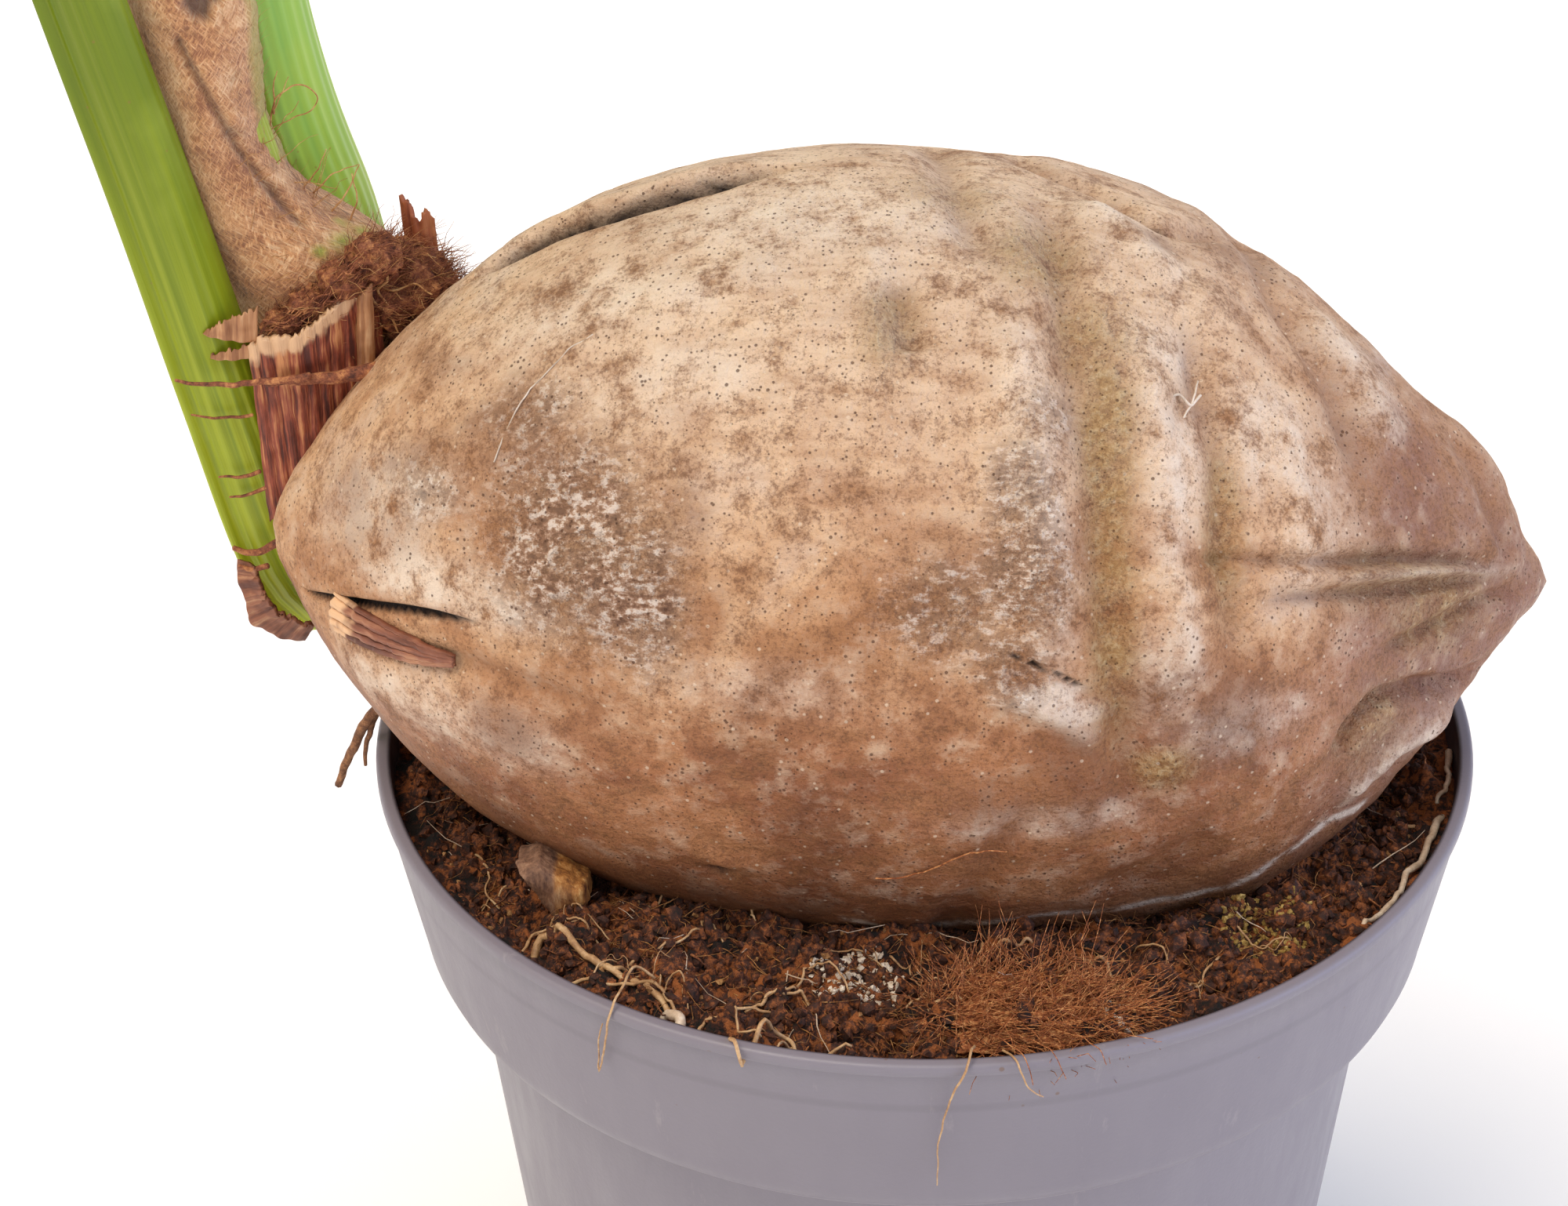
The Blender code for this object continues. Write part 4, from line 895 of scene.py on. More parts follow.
def pot_profile(look):
    """Radius and height from the middle of the floor inside, over the lip and down to the underside."""
    lip = [(RIM_RADIUS - LIP_ROUND + LIP_ROUND * math.sin(step * math.pi / 8),
            RIM_HEIGHT - LIP_ROUND + LIP_ROUND * math.cos(step * math.pi / 8)) for step in range(5)]
    inner = [(INNER_BRIM + BRIM_ROUND - BRIM_ROUND * math.sin(step * math.pi / 8),
        RIM_HEIGHT - BRIM_ROUND + BRIM_ROUND * math.cos(step * math.pi / 8)) for step in range(4, -1, -1)]
    return [
        (0.0, POT_FLOOR), (0.030, POT_FLOOR), (POT_BASE_RADIUS - POT_WALL - 0.002, POT_FLOOR),
        (POT_BASE_RADIUS - POT_WALL, POT_FLOOR + 0.002),
        (BODY_TOP_RADIUS - POT_WALL, COLLAR_FOOT - 0.0022),
        (COLLAR_FOOT_RADIUS - POT_WALL, COLLAR_FOOT + 0.0022),
        (INNER_BRIM, RIM_HEIGHT - 0.004), *inner, *lip,
        (RIM_RADIUS, RIM_HEIGHT - 0.0018), (RIM_RADIUS - 0.0003, RIM_HEIGHT - 0.0023),
        (RIM_RADIUS - look.lip * 1.5, RIM_HEIGHT - 0.0031),
            (RIM_RADIUS - look.lip - 0.0009, RIM_HEIGHT - 0.009),
        (COLLAR_FOOT_RADIUS + 0.0004, COLLAR_FOOT + 0.0042),
            (COLLAR_FOOT_RADIUS + 0.0002, COLLAR_FOOT + 0.0028),
        (COLLAR_FOOT_RADIUS - 0.0006, COLLAR_FOOT + 0.0008),
            (COLLAR_FOOT_RADIUS - 0.0016, COLLAR_FOOT - 0.0002),
        (BODY_TOP_RADIUS + 0.0016, COLLAR_FOOT - 0.0018), (BODY_TOP_RADIUS + 0.0004, COLLAR_FOOT - 0.0024),
        (BODY_TOP_RADIUS, COLLAR_FOOT - 0.0036),
        (POT_BASE_RADIUS, 0.0026), (POT_BASE_RADIUS - 0.0005, 0.0009), (POT_BASE_RADIUS - 0.0018, 0.0001),
        (POT_BASE_RADIUS - 0.0026, 0.0), (POT_BASE_RADIUS - 0.010, 0.0), (0.030, 0.0), (0.0, 0.0),
    ]


def make_pot(look, material):
    profile = pot_profile(look)
    turns = np.arange(look.steps) * math.tau / look.steps
    rings = [np.stack([radius * np.cos(turns), radius * np.sin(turns), np.full(look.steps, height)], axis=1)
             for radius, height in profile[1:-1]]
    points = np.vstack(rings + [[[0, 0, profile[0][1]], [0, 0, profile[-1][1]]]])
    piece = make_object("nursery_pot", points, capped_faces(len(rings), look.steps), material)
    face_outwards(piece)
    drills = bmesh.new()
    for index in range(8):
        angle = math.tau * (index + 0.5) / 8
        made = bmesh.ops.create_cone(drills, cap_ends=True, segments=32, radius1=0.0055, radius2=0.0055,
                                     depth=0.012)
        bmesh.ops.translate(drills, verts=made["verts"],
                            vec=(0.056 * math.cos(angle), 0.056 * math.sin(angle), 0.0))
    mesh = bpy.data.meshes.new("drain_drills")
    drills.to_mesh(mesh)
    drills.free()
    tool = bpy.data.objects.new("drain_drills", mesh)
    bpy.context.scene.collection.objects.link(tool)
    holes = piece.modifiers.new("drain_holes", "BOOLEAN")
    holes.operation = "DIFFERENCE"
    holes.solver = "EXACT"
    holes.object = tool
    apply_modifiers(piece)
    bpy.data.objects.remove(tool)
    piece.data.shade_smooth()
    piece.data.set_sharp_from_angle(angle=math.radians(50))
    return settle(piece, "pot_plastic", "plant_pot")


# ---------------------------------------------------------------- potting mix

MIX_LEVEL = RIM_HEIGHT - 0.0068
MIX_BRIM = INNER_BRIM - 0.0004


def mix_heights(points, clods):
    """Heights of the mix's top: clods, crumbs, a dip beside the husk and banked edges."""
    flat = np.column_stack([points[:, 0], points[:, 1], np.zeros(len(points))])
    reach = np.hypot(points[:, 0], points[:, 1]) / MIX_BRIM
    lumps = clods * grain(flat, 0.017, 6.0, 2) + 1.05 * clods * grain(flat, 0.0075, 7.0, 3)
    lumps += 0.34 * clods * grain(flat, 0.0024, 8.0, 2)
    front = np.exp(-(((np.degrees(np.arctan2(points[:, 1], points[:, 0])) + 80) / 45) ** 2))
    banked = 0.0016 * front * ease((reach - 0.6) / 0.3)
    return MIX_LEVEL + lumps * np.clip((1.02 - reach) * 12, 0.15, 1.0) + banked


def under_husk(points, margin):
    """Whether each point lies within the husk's outline at its own height, less a margin."""
    along = (points[:, 0] - STALK_END[0]) / HUSK_LENGTH
    inside = (along > 0) & (along < 1)
    along = np.clip(along, 0.0, 1.0)
    axis = STALK_END[2] + 4 * HUSK_ARCH * along * (1 - along) - HUSK_TILT * along
    gap = np.hypot(points[:, 1], points[:, 2] - axis)
    return inside & (gap < husk_radius(along) - margin)


def make_mix(look, material):
    rows, around = 120, 440
    turns = np.arange(around) * math.tau / around
    reaches = MIX_BRIM * (np.arange(1, rows + 1) / rows) ** 0.8
    reach, turn = (grid.ravel() for grid in np.meshgrid(reaches, turns, indexing="ij"))
    top = np.column_stack([reach * np.cos(turn), reach * np.sin(turn), np.zeros(len(reach))])
    top[:, 2] = mix_heights(top, look.clods)
    sunk = under_husk(top, -0.0006)
    along = np.clip((top[:, 0] - STALK_END[0]) / HUSK_LENGTH, 0.0, 1.0)
    axis = STALK_END[2] + 4 * HUSK_ARCH * along * (1 - along) - HUSK_TILT * along
    underside = axis - np.sqrt(np.maximum((husk_radius(along) + 0.0022) ** 2 - top[:, 1] ** 2, 0.0))
    top[sunk, 2] = np.minimum(top[sunk, 2], underside[sunk] - 0.0008)
    wall = [(COLLAR_FOOT_RADIUS - POT_WALL - 0.0004, COLLAR_FOOT + 0.0024),
            (BODY_TOP_RADIUS - POT_WALL - 0.0004, COLLAR_FOOT - 0.0020),
            (POT_BASE_RADIUS - POT_WALL - 0.0004, POT_FLOOR + 0.0024),
            (POT_BASE_RADIUS - POT_WALL - 0.0026, POT_FLOOR + 0.0004)]
    rings = [np.stack([radius * np.cos(turns), radius * np.sin(turns), np.full(around, height)], axis=1)
             for radius, height in wall]
    middle = mix_heights(np.zeros((1, 3)), look.clods)[0]
    crown = [[0.0, 0.0, min(middle, STALK_END[2] - HUSK_TILT / 2 - HUSK_RADIUS - 0.002)],
             [0.0, 0.0, POT_FLOOR + 0.0004]]
    points = np.vstack([top] + rings + [crown])
    piece = make_object("potting_mix_bed", points, capped_faces(rows + len(rings), around), material)
    face_outwards(piece)
    settle(piece, "potting_mix", "potting_mix")
    bare = [face for face in wrapped_faces(rows, around) if not under_husk(top[list(face)], 0.001).any()]
    return top, bare


SOCKET_KINDS = {"Geometry": "Geometry", "Seed": "Int", "Lay": "Vector", "Material": "Material"}


def growing_tree(name, *titles):
    """A node tree with inputs of these titles, and the random spots on a surface that things grow from."""
    tree = bpy.data.node_groups.new(name, "GeometryNodeTree")
    for title in ("Geometry", "Density", *titles, "Seed", "Material"):
        tree.interface.new_socket(title, in_out="INPUT",
                                  socket_type="NodeSocket" + SOCKET_KINDS.get(title, "Float"))
    tree.interface.new_socket("Geometry", in_out="OUTPUT", socket_type="NodeSocketGeometry")
    given = add(tree, "NodeGroupInput").node.outputs
    spots = add(tree, "GeometryNodeDistributePointsOnFaces", Mesh=given["Geometry"],
        Density=given["Density"], Seed=given["Seed"])
    return tree, given, spots


def scatter_tree(name):
    """Node tree: crumbs of random size, turn and shape, scattered over a surface."""
    tree, given, spots = growing_tree(name, "Smallest", "Largest")
    pebble = add(tree, "GeometryNodeMeshIcoSphere", Radius=1.0, Subdivisions=1)
    size = add(tree, "FunctionNodeRandomValue", {2: given["Smallest"], 3: given["Largest"],
        "Seed": given["Seed"]}, out=1, data_type="FLOAT")
    turn = add(tree, "FunctionNodeRandomValue", {0: (0.0, 0.0, 0.0), 1: (6.28, 6.28, 6.28),
        "Seed": given["Seed"]}, data_type="FLOAT_VECTOR")
    stretch = add(tree, "FunctionNodeRandomValue",
        {0: (0.6, 0.7, 0.5), 1: (1.5, 1.1, 1.0), "Seed": given["Seed"]}, data_type="FLOAT_VECTOR")
    scale = add(tree, "VectorMath", {0: stretch, "Scale": size}, operation="SCALE")
    placed = add(tree, "GeometryNodeInstanceOnPoints", Points=spots, Instance=pebble, Rotation=turn,
        Scale=scale)
    real = add(tree, "GeometryNodeRealizeInstances", Geometry=placed)
    here = add(tree, "GeometryNodeInputPosition")
    lumps = add(tree, "TexNoise", Vector=here, Scale=every(1.2), Detail=2.0, out="Color")
    centred = add(tree, "VectorMath", {0: lumps, 1: (0.5, 0.5, 0.5)}, operation="SUBTRACT")
    reach = add(tree, "Math", {0: given["Largest"], 1: 1.3}, operation="MULTIPLY")
    push = add(tree, "VectorMath", {0: centred, "Scale": reach}, operation="SCALE")
    moved = add(tree, "GeometryNodeSetPosition", Geometry=real, Offset=push)
    flat = add(tree, "GeometryNodeSetShadeSmooth", Geometry=moved, Shade_Smooth=False)
    finished = add(tree, "GeometryNodeSetMaterial", Geometry=flat, Material=given["Material"])
    add(tree, "NodeGroupOutput", Geometry=finished)
    return tree


def fibre_tree(name):
    """Node tree: thin bent fibres that grow from random spots of a surface, lying down or standing up."""
    tree, given, spots = growing_tree(name, "Shortest", "Longest", "Thickness", "Bend", "Curl Size",
                                      "Upright", "Lay")
    normal = spots.node.outputs["Normal"]
    straight = add(tree, "GeometryNodeCurvePrimitiveLine", End=(0.0, 0.0, 1.0))
    strand = add(tree, "GeometryNodeResampleCurve", Curve=straight, Count=6)
    stray = add(tree, "FunctionNodeRandomValue",
        {0: (-1.0, -1.0, -0.25), 1: (1.0, 1.0, 0.45), "Seed": given["Seed"]}, data_type="FLOAT_VECTOR")
    standing = add(tree, "VectorMath", {0: normal, "Scale": given["Upright"]}, operation="SCALE")
    sum_way = add(tree, "VectorMath", {0: stray, 1: standing}, operation="ADD")
    sum_way = add(tree, "VectorMath", {0: sum_way, 1: given["Lay"]}, operation="ADD")
    turned = add(tree, "FunctionNodeAlignRotationToVector", Vector=sum_way, axis="Z")
    long = add(tree, "FunctionNodeRandomValue", {2: given["Shortest"], 3: given["Longest"],
        "Seed": given["Seed"]}, out=1, data_type="FLOAT")
    placed = add(tree, "GeometryNodeInstanceOnPoints", Points=spots, Instance=strand, Rotation=turned,
        Scale=long)
    real = add(tree, "GeometryNodeRealizeInstances", Geometry=placed)
    here = add(tree, "GeometryNodeInputPosition")
    finer = add(tree, "Math", {0: 1.0, 1: given["Curl Size"]}, operation="DIVIDE")
    waves = add(tree, "TexNoise", Vector=here, Scale=finer, Detail=1.0, out="Color")
    centred = add(tree, "VectorMath", {0: waves, 1: (0.5, 0.5, 0.5)}, operation="SUBTRACT")
    share = add(tree, "GeometryNodeSplineParameter")
    amount = add(tree, "Math", {0: share, 1: given["Bend"]}, operation="MULTIPLY")
    push = add(tree, "VectorMath", {0: centred, "Scale": amount}, operation="SCALE")
    bent = add(tree, "GeometryNodeSetPosition", Geometry=real, Offset=push)
    taper = add(tree, "Math", {0: share, 1: -0.65, 2: 1.0}, operation="MULTIPLY_ADD")
    tapered = add(tree, "GeometryNodeSetCurveRadius", Curve=bent, Radius=taper)
    outline = add(tree, "GeometryNodeCurvePrimitiveCircle", Resolution=3, Radius=given["Thickness"])
    solid = add(tree, "GeometryNodeCurveToMesh", Curve=tapered, Profile_Curve=outline, Scale=taper,
        Fill_Caps=True)
    finished = add(tree, "GeometryNodeSetMaterial", Geometry=solid, Material=given["Material"])
    add(tree, "NodeGroupOutput", Geometry=finished)
    return tree


def grow(name, tree, points, faces, material, slot, **values):
    """Run a node tree on a patch of surface and keep its result as a plain piece."""
    used = sorted({corner for face in faces for corner in face})
    place = {corner: index for index, corner in enumerate(used)}
    piece = make_object(name, np.asarray(points)[used],
                        [tuple(place[corner] for corner in face) for face in faces], material)
    maker = piece.modifiers.new("growth", "NODES")
    maker.node_group = tree
    identifiers = {item.name: item.identifier for item in tree.interface.items_tree
                   if item.item_type == "SOCKET" and item.in_out == "INPUT"}
    values = {key.replace("_", " "): value for key, value in values.items()}
    for title, value in values.items():
        maker[identifiers[title]] = value
    maker[identifiers["Material"]] = material
    apply_modifiers(piece)
    if not len(piece.data.polygons):
        raise RuntimeError(name + " came out empty")
    return settle(piece, slot)


# Roots and threads on the mix: points (x, y) in millimetres, thickness at the start and end, lift
SURFACE_ROOTS = [
    ([(-69.5, -65.5), (-68.1, -61.7), (-65.9, -62.8), (-60.7, -67.7), (-55.5, -72), (-49, -76.8),
      (-45.4, -81.1), (-42.3, -86.5)], 1.25, 0.95, 1.6),
    ([(-72, -63.8), (-70.4, -59.8), (-66.3, -58.2), (-61.4, -59.3), (-56.1, -63.6)], 0.45, 0.3, 1.8),
    ([(-71.5, -62), (-69, -58.4), (-64, -56.6), (-59.8, -58), (-55, -61.2)], 0.35, 0.2, 2),
    ([(-63, -73), (-61.6, -73.8), (-55.2, -75.3), (-49.7, -76.8), (-45.5, -79.6),
      (-42, -84.5)], 0.6, 0.45, 1.9),
    ([(-46, -79.2), (-44.4, -74.7), (-42.5, -72.9), (-40.5, -72.8)], 0.35, 0.2, 1.7),
    ([(-45.5, -80), (-43.2, -77.4), (-41.2, -80.2), (-40.4, -83.8)], 0.32, 0.2, 1.8),
    ([(-58, -74.6), (-54.2, -70.6), (-51.4, -72.8), (-47.4, -74)], 0.28, 0.18, 2),
    ([(-48, -68), (-44.3, -65.7), (-40.2, -62.9), (-39.1, -59.5), (-37, -60.1),
      (-35.1, -64.5)], 0.42, 0.28, 1.9),
    ([(-51.4, -52.1), (-50.5, -54.5), (-47.3, -52.1), (-45.9, -50.4), (-42, -50)], 0.40, 0.3, 1.8),
    ([(-31.7, -54.3), (-30.5, -57.7), (-29.4, -60.5)], 0.45, 0.3, 1.6),
    ([(-39, -91.5), (-36.9, -89), (-32.9, -87.4), (-31, -84.6), (-27, -84.1), (-22, -84.8)], 0.55, 0.4, 1.8),
    ([(-36.9, -89), (-35, -85.6), (-35.4, -82.6)], 0.35, 0.2, 1.8),
    ([(-30.5, -99.6), (-29.2, -97.8), (-27.3, -94.6), (-24, -91), (-21.4, -92.4), (-19.3, -95.5),
      (-15.3, -95.9), (-11.8, -95.2)], 0.72, 0.5, 4.6),
    ([(-27.3, -94.6), (-30.6, -92.8), (-31.8, -88.6)], 0.45, 0.3, 3.6),
    ([(-31, -83), (-27.8, -82), (-23.7, -79.7), (-20.5, -78.6), (-18.4, -80.8)], 0.55, 0.4, 1.9),
    ([(-24.4, -80), (-22, -76), (-20, -71.5), (-15.8, -72.1), (-13.1, -75.2),
      (-11.6, -81.1)], 0.45, 0.28, 2.2),
    ([(-5.6, -64.8), (-4.1, -66.4), (-1.6, -69.7), (1.1, -73), (3.6, -73.6)], 0.35, 0.2, 1.8),
    ([(-2.6, -86), (-0.5, -85.7), (5.7, -83.9), (10.6, -82.3), (14.9, -78.4),
      (18.4, -76.6)], 0.62, 0.42, 2.2),
    ([(11.3, -64.1), (9.4, -72.3), (7.9, -80), (5.7, -83.5)], 0.45, 0.25, 2.8),
    ([(30.2, -70.2), (33, -72.4), (34.1, -77.5)], 0.55, 0.35, 2.2),
    ([(53.3, -66.6), (49.5, -72.9), (46.7, -78.4)], 0.42, 0.22, 2.4),
    ([(13.6, -68.6), (20, -66.3)], 0.60, 0.50, 1.8),
    ([(83.4, -24.4), (86.6, -26.1), (93, -28)], 0.75, 0.6, 1.8),
    ([(-19, -66), (-14, -64), (-9, -66.5), (-5, -71)], 0.30, 0.18, 2),
    ([(-3, -78.5), (1, -76), (6, -77.2), (11, -75)], 0.35, 0.20, 2.2),
    ([(38, -63), (43, -66.5), (46, -72), (52, -74)], 0.32, 0.20, 2.2),
    ([(56, -58), (60, -62.5), (66, -62)], 0.35, 0.25, 2),
    ([(-78, -47), (-74, -44), (-71, -46.5), (-66.5, -45)], 0.38, 0.25, 1.9),
    ([(-84, -36), (-80.5, -40), (-79.5, -46), (-76, -50)], 0.40, 0.28, 1.9),
    ([(-60, 62), (-52, 66), (-44, 63), (-36, 70), (-26, 72)], 0.70, 0.40, 1.8),
    ([(20, 78), (28, 74), (38, 77), (46, 70)], 0.60, 0.35, 1.9),
    ([(58, 60), (62, 54), (70, 52), (74, 44)], 0.50, 0.30, 1.9),
]
# The bleached root that lies in the angle between the mix and the rim
BLEACHED_ROOTS = [
    ([(97.8, -22), (95.2, -29.2), (92.9, -35.6), (89.3, -41.7), (86.5, -47.9), (82.9, -53.8),
      (78.9, -59.6)], 1.10, 0.7, 2.4),
    ([(101.3, -2.5), (100.6, -8.6), (99.3, -15.1), (96.9, -19.9)], 0.95, 0.6, 2.6),
    ([(-44.6, -83), (-42.6, -86.6), (-41.4, -90.6)], 1.5, 1.3, 2),
]
# Rootlets that hang over the rim: points (x, y, z) in millimetres
HANGING_ROOTS = [
    ([(-46.5, -78.8, 188), (-49.8, -79.6, 191.2), (-51.6, -86.6, 191.8), (-53.2, -90.8, 190.2),
      (-54.8, -89.9, 181), (-56.2, -87, 174.2), (-56.4, -87, 174.8), (-55.8, -88.6, 182.5),
      (-54.9, -89.8, 186.6)], 0.36, 0.16),
    ([(9.2, -97, 188.2), (8.6, -102.4, 191.6), (7.6, -105.6, 189.4), (5.7, -105.2, 184.5), (3.8, -104, 176.7),
      (3.2, -102.6, 169.6), (3, -101.6, 161)], 0.34, 0.14),
    ([(14, -99, 189), (16.2, -104, 190.8), (18.2, -105.6, 186.4), (20.8, -104.6, 183.6)], 0.30, 0.14),
    ([(-33, -96, 188.2), (-31.6, -99.9, 191.4), (-30.8, -101.6, 189.6), (-30.2, -101.2, 186.9)], 0.60, 0.4),
]


def jagged(line, amount, seed):
    """A line shaken a little, more in its middle, as roots grow."""
    shake = np.stack([grain(line, 0.004, seed + axis, 2) for axis in range(3)], axis=1)
    share = np.linspace(0, 1, len(line))
    return line + shake * amount * (4 * share * (1 - share))[:, None] ** 0.5


def surface_strand(shape, points, thick, thin, lift, seed, clods):
    flat = np.array(points, float) * MM
    line = Route(np.column_stack([flat, np.zeros(len(flat))])).at(np.linspace(0, 1, 30))
    level = mix_heights(line, clods)
    level = np.convolve(np.pad(level, 3, mode="edge"), np.ones(7) / 7, mode="valid")
    line[:, 2] = np.maximum(level, mix_heights(line, clods) - 0.0004) + lift * MM * 0.55
    share = np.linspace(0, 1, len(line))
    arch = np.sin(share * math.pi * 2.2 + seed) * 0.0007 * (4 * share * (1 - share))
    line[:, 2] += arch - 0.0016 * ((2 * share - 1) ** 8)
    knots = 1 + 0.22 * grain(line, 0.003, seed + 11.0, 2)
    shape.tube(jagged(line, 0.0010, seed), mix(thick, thin, share) * MM * 0.5 * knots, sides=7)


def make_surface_roots(look, dry, bleached):
    shape = Shape()
    for seed, (points, thick, thin, lift) in enumerate(SURFACE_ROOTS):
        surface_strand(shape, points, thick * 1.25, thin * 1.25, lift, float(seed), look.clods)
        if seed % 2 == 0:
            start = np.array(points[len(points) // 2], float)
            turn = seed * 2.4
            branch = [tuple(start), tuple(start + 3.0 * np.array([math.cos(turn), math.sin(turn)])),
                      tuple(start + 6.5 * np.array([math.cos(turn + 0.6), math.sin(turn + 0.6)]))]
            surface_strand(shape, branch, thin, thin * 0.6, lift, seed + 0.5, look.clods)
    for seed, (points, thick, thin) in enumerate(HANGING_ROOTS):
        line = Route(np.array(points) * MM).at(np.linspace(0, 1, 44))
        share = np.linspace(0, 1, len(line))
        shape.tube(jagged(line, 0.0003, 40.0 + seed), mix(thick, thin, share) * MM * 0.75, sides=7)
    roots = settle(shape.make("surface_roots", dry), "root_tan", "surface_root")
    shape = Shape()
    for seed, (points, thick, thin, lift) in enumerate(BLEACHED_ROOTS):
        surface_strand(shape, points, thick * 1.4, thin * 1.4, lift, 60.0 + seed, look.clods)
    pale = settle(shape.make("bleached_roots", bleached), "root_tan")
    return roots, pale


def make_mix_and_litter(look):
    top, bare = make_mix(look, moist_mix(look))
    crumbs = scatter_tree("Crumbs")
    fibres = fibre_tree("Fibres")
    dark = loose_pieces("Peat crumbs", "#110703", "#3f1d0d", "#98582a", 2.0)
    tan = loose_pieces("Coir crumbs and chips", "#5a3a20", "#8c6238", "#c69a66", 2.0)
    hair = loose_pieces("Dry root hairs", "#5a3518", "#91602f", "#c99a5e", 2.2)
    pale = loose_pieces("Pale dead roots", "#a88d72", "#cdb79f", "#e6dac9", 6.0, 0.6)
    shred = loose_pieces("Peat shreds", "#241108", "#63351b", "#b0723f", 2.5)
    mould = loose_pieces("Dried white mould", "#a08c78", "#cbbca8", "#efe9de", 1.5)
    algae = loose_pieces("Dried algae crust", "#5f4a22", "#9a7c3a", "#cdb675", 1.5)
    dry = loose_pieces("Dry palm roots", "#8a6544", "#b38d63", "#d2b48a", 4.0, 0.6)
    size = look.crumb_size
    reach = np.hypot(top[:, 0], top[:, 1]) / MIX_BRIM
    clear = [face for face in bare if reach[face[0]] < 0.965]
    inside = [face for face in bare if reach[face[0]] < 0.90]
    grow("mix_crumbs", crumbs, top, clear, dark, "potting_mix", Density=look.crumb_density,
        Smallest=size * 0.22, Largest=size * 0.62, Seed=3)
    grow("mix_lumps", crumbs, top, inside, dark, "potting_mix", Density=look.crumb_density * 0.19,
        Smallest=size * 0.4, Largest=size * 1.0, Seed=5)
    grow("coir_crumbs", crumbs, top, bare, tan, "root_tan", Density=look.crumb_density * 0.065,
        Smallest=size * 0.12, Largest=size * 0.36, Seed=7)
    grow("peat_shreds", fibres, top, clear, shred, "potting_mix", Density=look.hair_density * 0.55,
        Shortest=0.0015, Longest=0.0050, Thickness=0.00030, Bend=0.0040, Curl_Size=0.0030, Upright=0.30,
        Lay=(0.0, 0.0, 0.0), Seed=9)
    for name, x, y, half, material in (("mould_crumbs", -12.0, -72.0, 8.0, mould),
                                       ("algae_crumbs", 61.0, -58.0, 8.0, algae),
                                       ("mould_crumbs_right", 33.0, -86.0, 4.0, mould)):
        patch = [face for face in bare if np.hypot(*(top[face[0], :2] / MM - (x, y))) < half]
        grow(name, crumbs, top, patch, material, "root_tan", Density=900000.0, Smallest=0.00025,
            Largest=0.0008, Seed=17)
    grow("root_hairs", fibres, top, inside, hair, "root_tan", Density=look.hair_density, Shortest=0.0025,
        Longest=0.009, Thickness=0.00010, Bend=0.0060, Curl_Size=0.0035, Upright=0.30, Lay=(0.0, 0.0, 0.0),
        Seed=11)
    grow("pale_hairs", fibres, top, inside, pale, "root_tan", Density=look.hair_density * 0.063,
        Shortest=0.004, Longest=0.014, Thickness=0.00016, Bend=0.0070, Curl_Size=0.0055, Upright=0.25,
        Lay=(0.0, 0.0, 0.0), Seed=13)
    make_surface_roots(look, dry, pale)


# ---------------------------------------------------------------- stem and leaves

STEM_PATH = [(0.0319, 0.015, -0.0192), (0.0119, 0.016, -0.0252), (-0.0011, 0.018, -0.0142),
             (-0.0021, 0.020, 0.0048), (0.0029, 0.024, 0.0248), (0.0069, 0.028, 0.0418)]
SHEATH_PATH = [(0.0024, 0.025, 0.0348), (-0.0001, 0.025, 0.0458), (-0.0111, 0.024, 0.0948),
               (-0.0271, 0.023, 0.1668)]
BLADE_THICK = 0.0012
NOTCH = 0.26  # depth of the notch in a blade's tip, as a share of the blade
DROOP = 0.20  # how far a blade's edges hang, as a share of its half width
LEAVES = [
    {"name": "leaf_1", "heading": 205.0, "low_heading": 262.0, "stalk": 0.46, "half_width": 0.076,
     "wide": 0.0074, "deep": 0.0062, "foot": 0.0084, "keel": 0.0024,
     "path": [(0.0070, 0.015, -0.0265), (-0.0014, 0.013, -0.0130), (-0.0096, 0.013, 0.0228),
       (-0.0216, 0.012, 0.0808),
              (-0.0461, 0.006, 0.1968), (-0.0831, -0.012, 0.3368), (-0.1431, -0.045, 0.4768),
              (-0.2431, -0.095, 0.5668), (-0.3581, -0.150, 0.5568)]},
    {"name": "leaf_2", "heading": 35.0, "low_heading": -30.0, "stalk": 0.47, "half_width": 0.072,
     "wide": 0.0080, "deep": 0.0055, "foot": 0.0095,
     "path": [(0.0129, 0.037, 0.0328), (0.0104, 0.038, 0.0458), (0.0009, 0.038, 0.0888),
              (-0.0121, 0.050, 0.1968), (-0.0031, 0.085, 0.3468), (0.0419, 0.140, 0.4968),
              (0.1169, 0.205, 0.5968), (0.2169, 0.275, 0.5968)]},
    {"name": "leaf_3", "heading": 135.0, "low_heading": 135.0, "stalk": 0.46, "half_width": 0.070,
     "wide": 0.0056, "deep": 0.0034, "foot": 0.0037,
     "inner": (0.0, 0.0049),
     "path": [(-0.0561, 0.050, 0.2868), (-0.1031, 0.105, 0.4468), (-0.1681, 0.185, 0.5768),
              (-0.2531, 0.280, 0.6268), (-0.3431, 0.370, 0.5868)]},
    {"name": "leaf_4", "heading": -37.0, "low_heading": -37.0, "stalk": 0.46, "half_width": 0.062,
     "wide": 0.0052, "deep": 0.0034, "foot": 0.0037,
     "inner": (0.0043, -0.0025),
     "path": [(-0.0381, 0.008, 0.2868), (-0.0281, -0.020, 0.4468), (0.0169, -0.065, 0.5968),
              (0.0919, -0.130, 0.6968), (0.1869, -0.200, 0.7268)]},
]
SPEAR_PATH = [(-0.0501, 0.020, 0.2868), (-0.0641, 0.018, 0.4668), (-0.0701, 0.016, 0.6468),
              (-0.0681, 0.014, 0.8168)]


def from_stalk_end(points):
    return [STALK_END + np.array(point) for point in points]


def inner_path(offset, onward):
    """Up through the fibre cloth beside its axis, and on through the leaf's own points."""
    beside = np.array([offset[0], offset[1], 0.0])
    return [point + beside for point in from_stalk_end(SHEATH_PATH)] + from_stalk_end(onward)


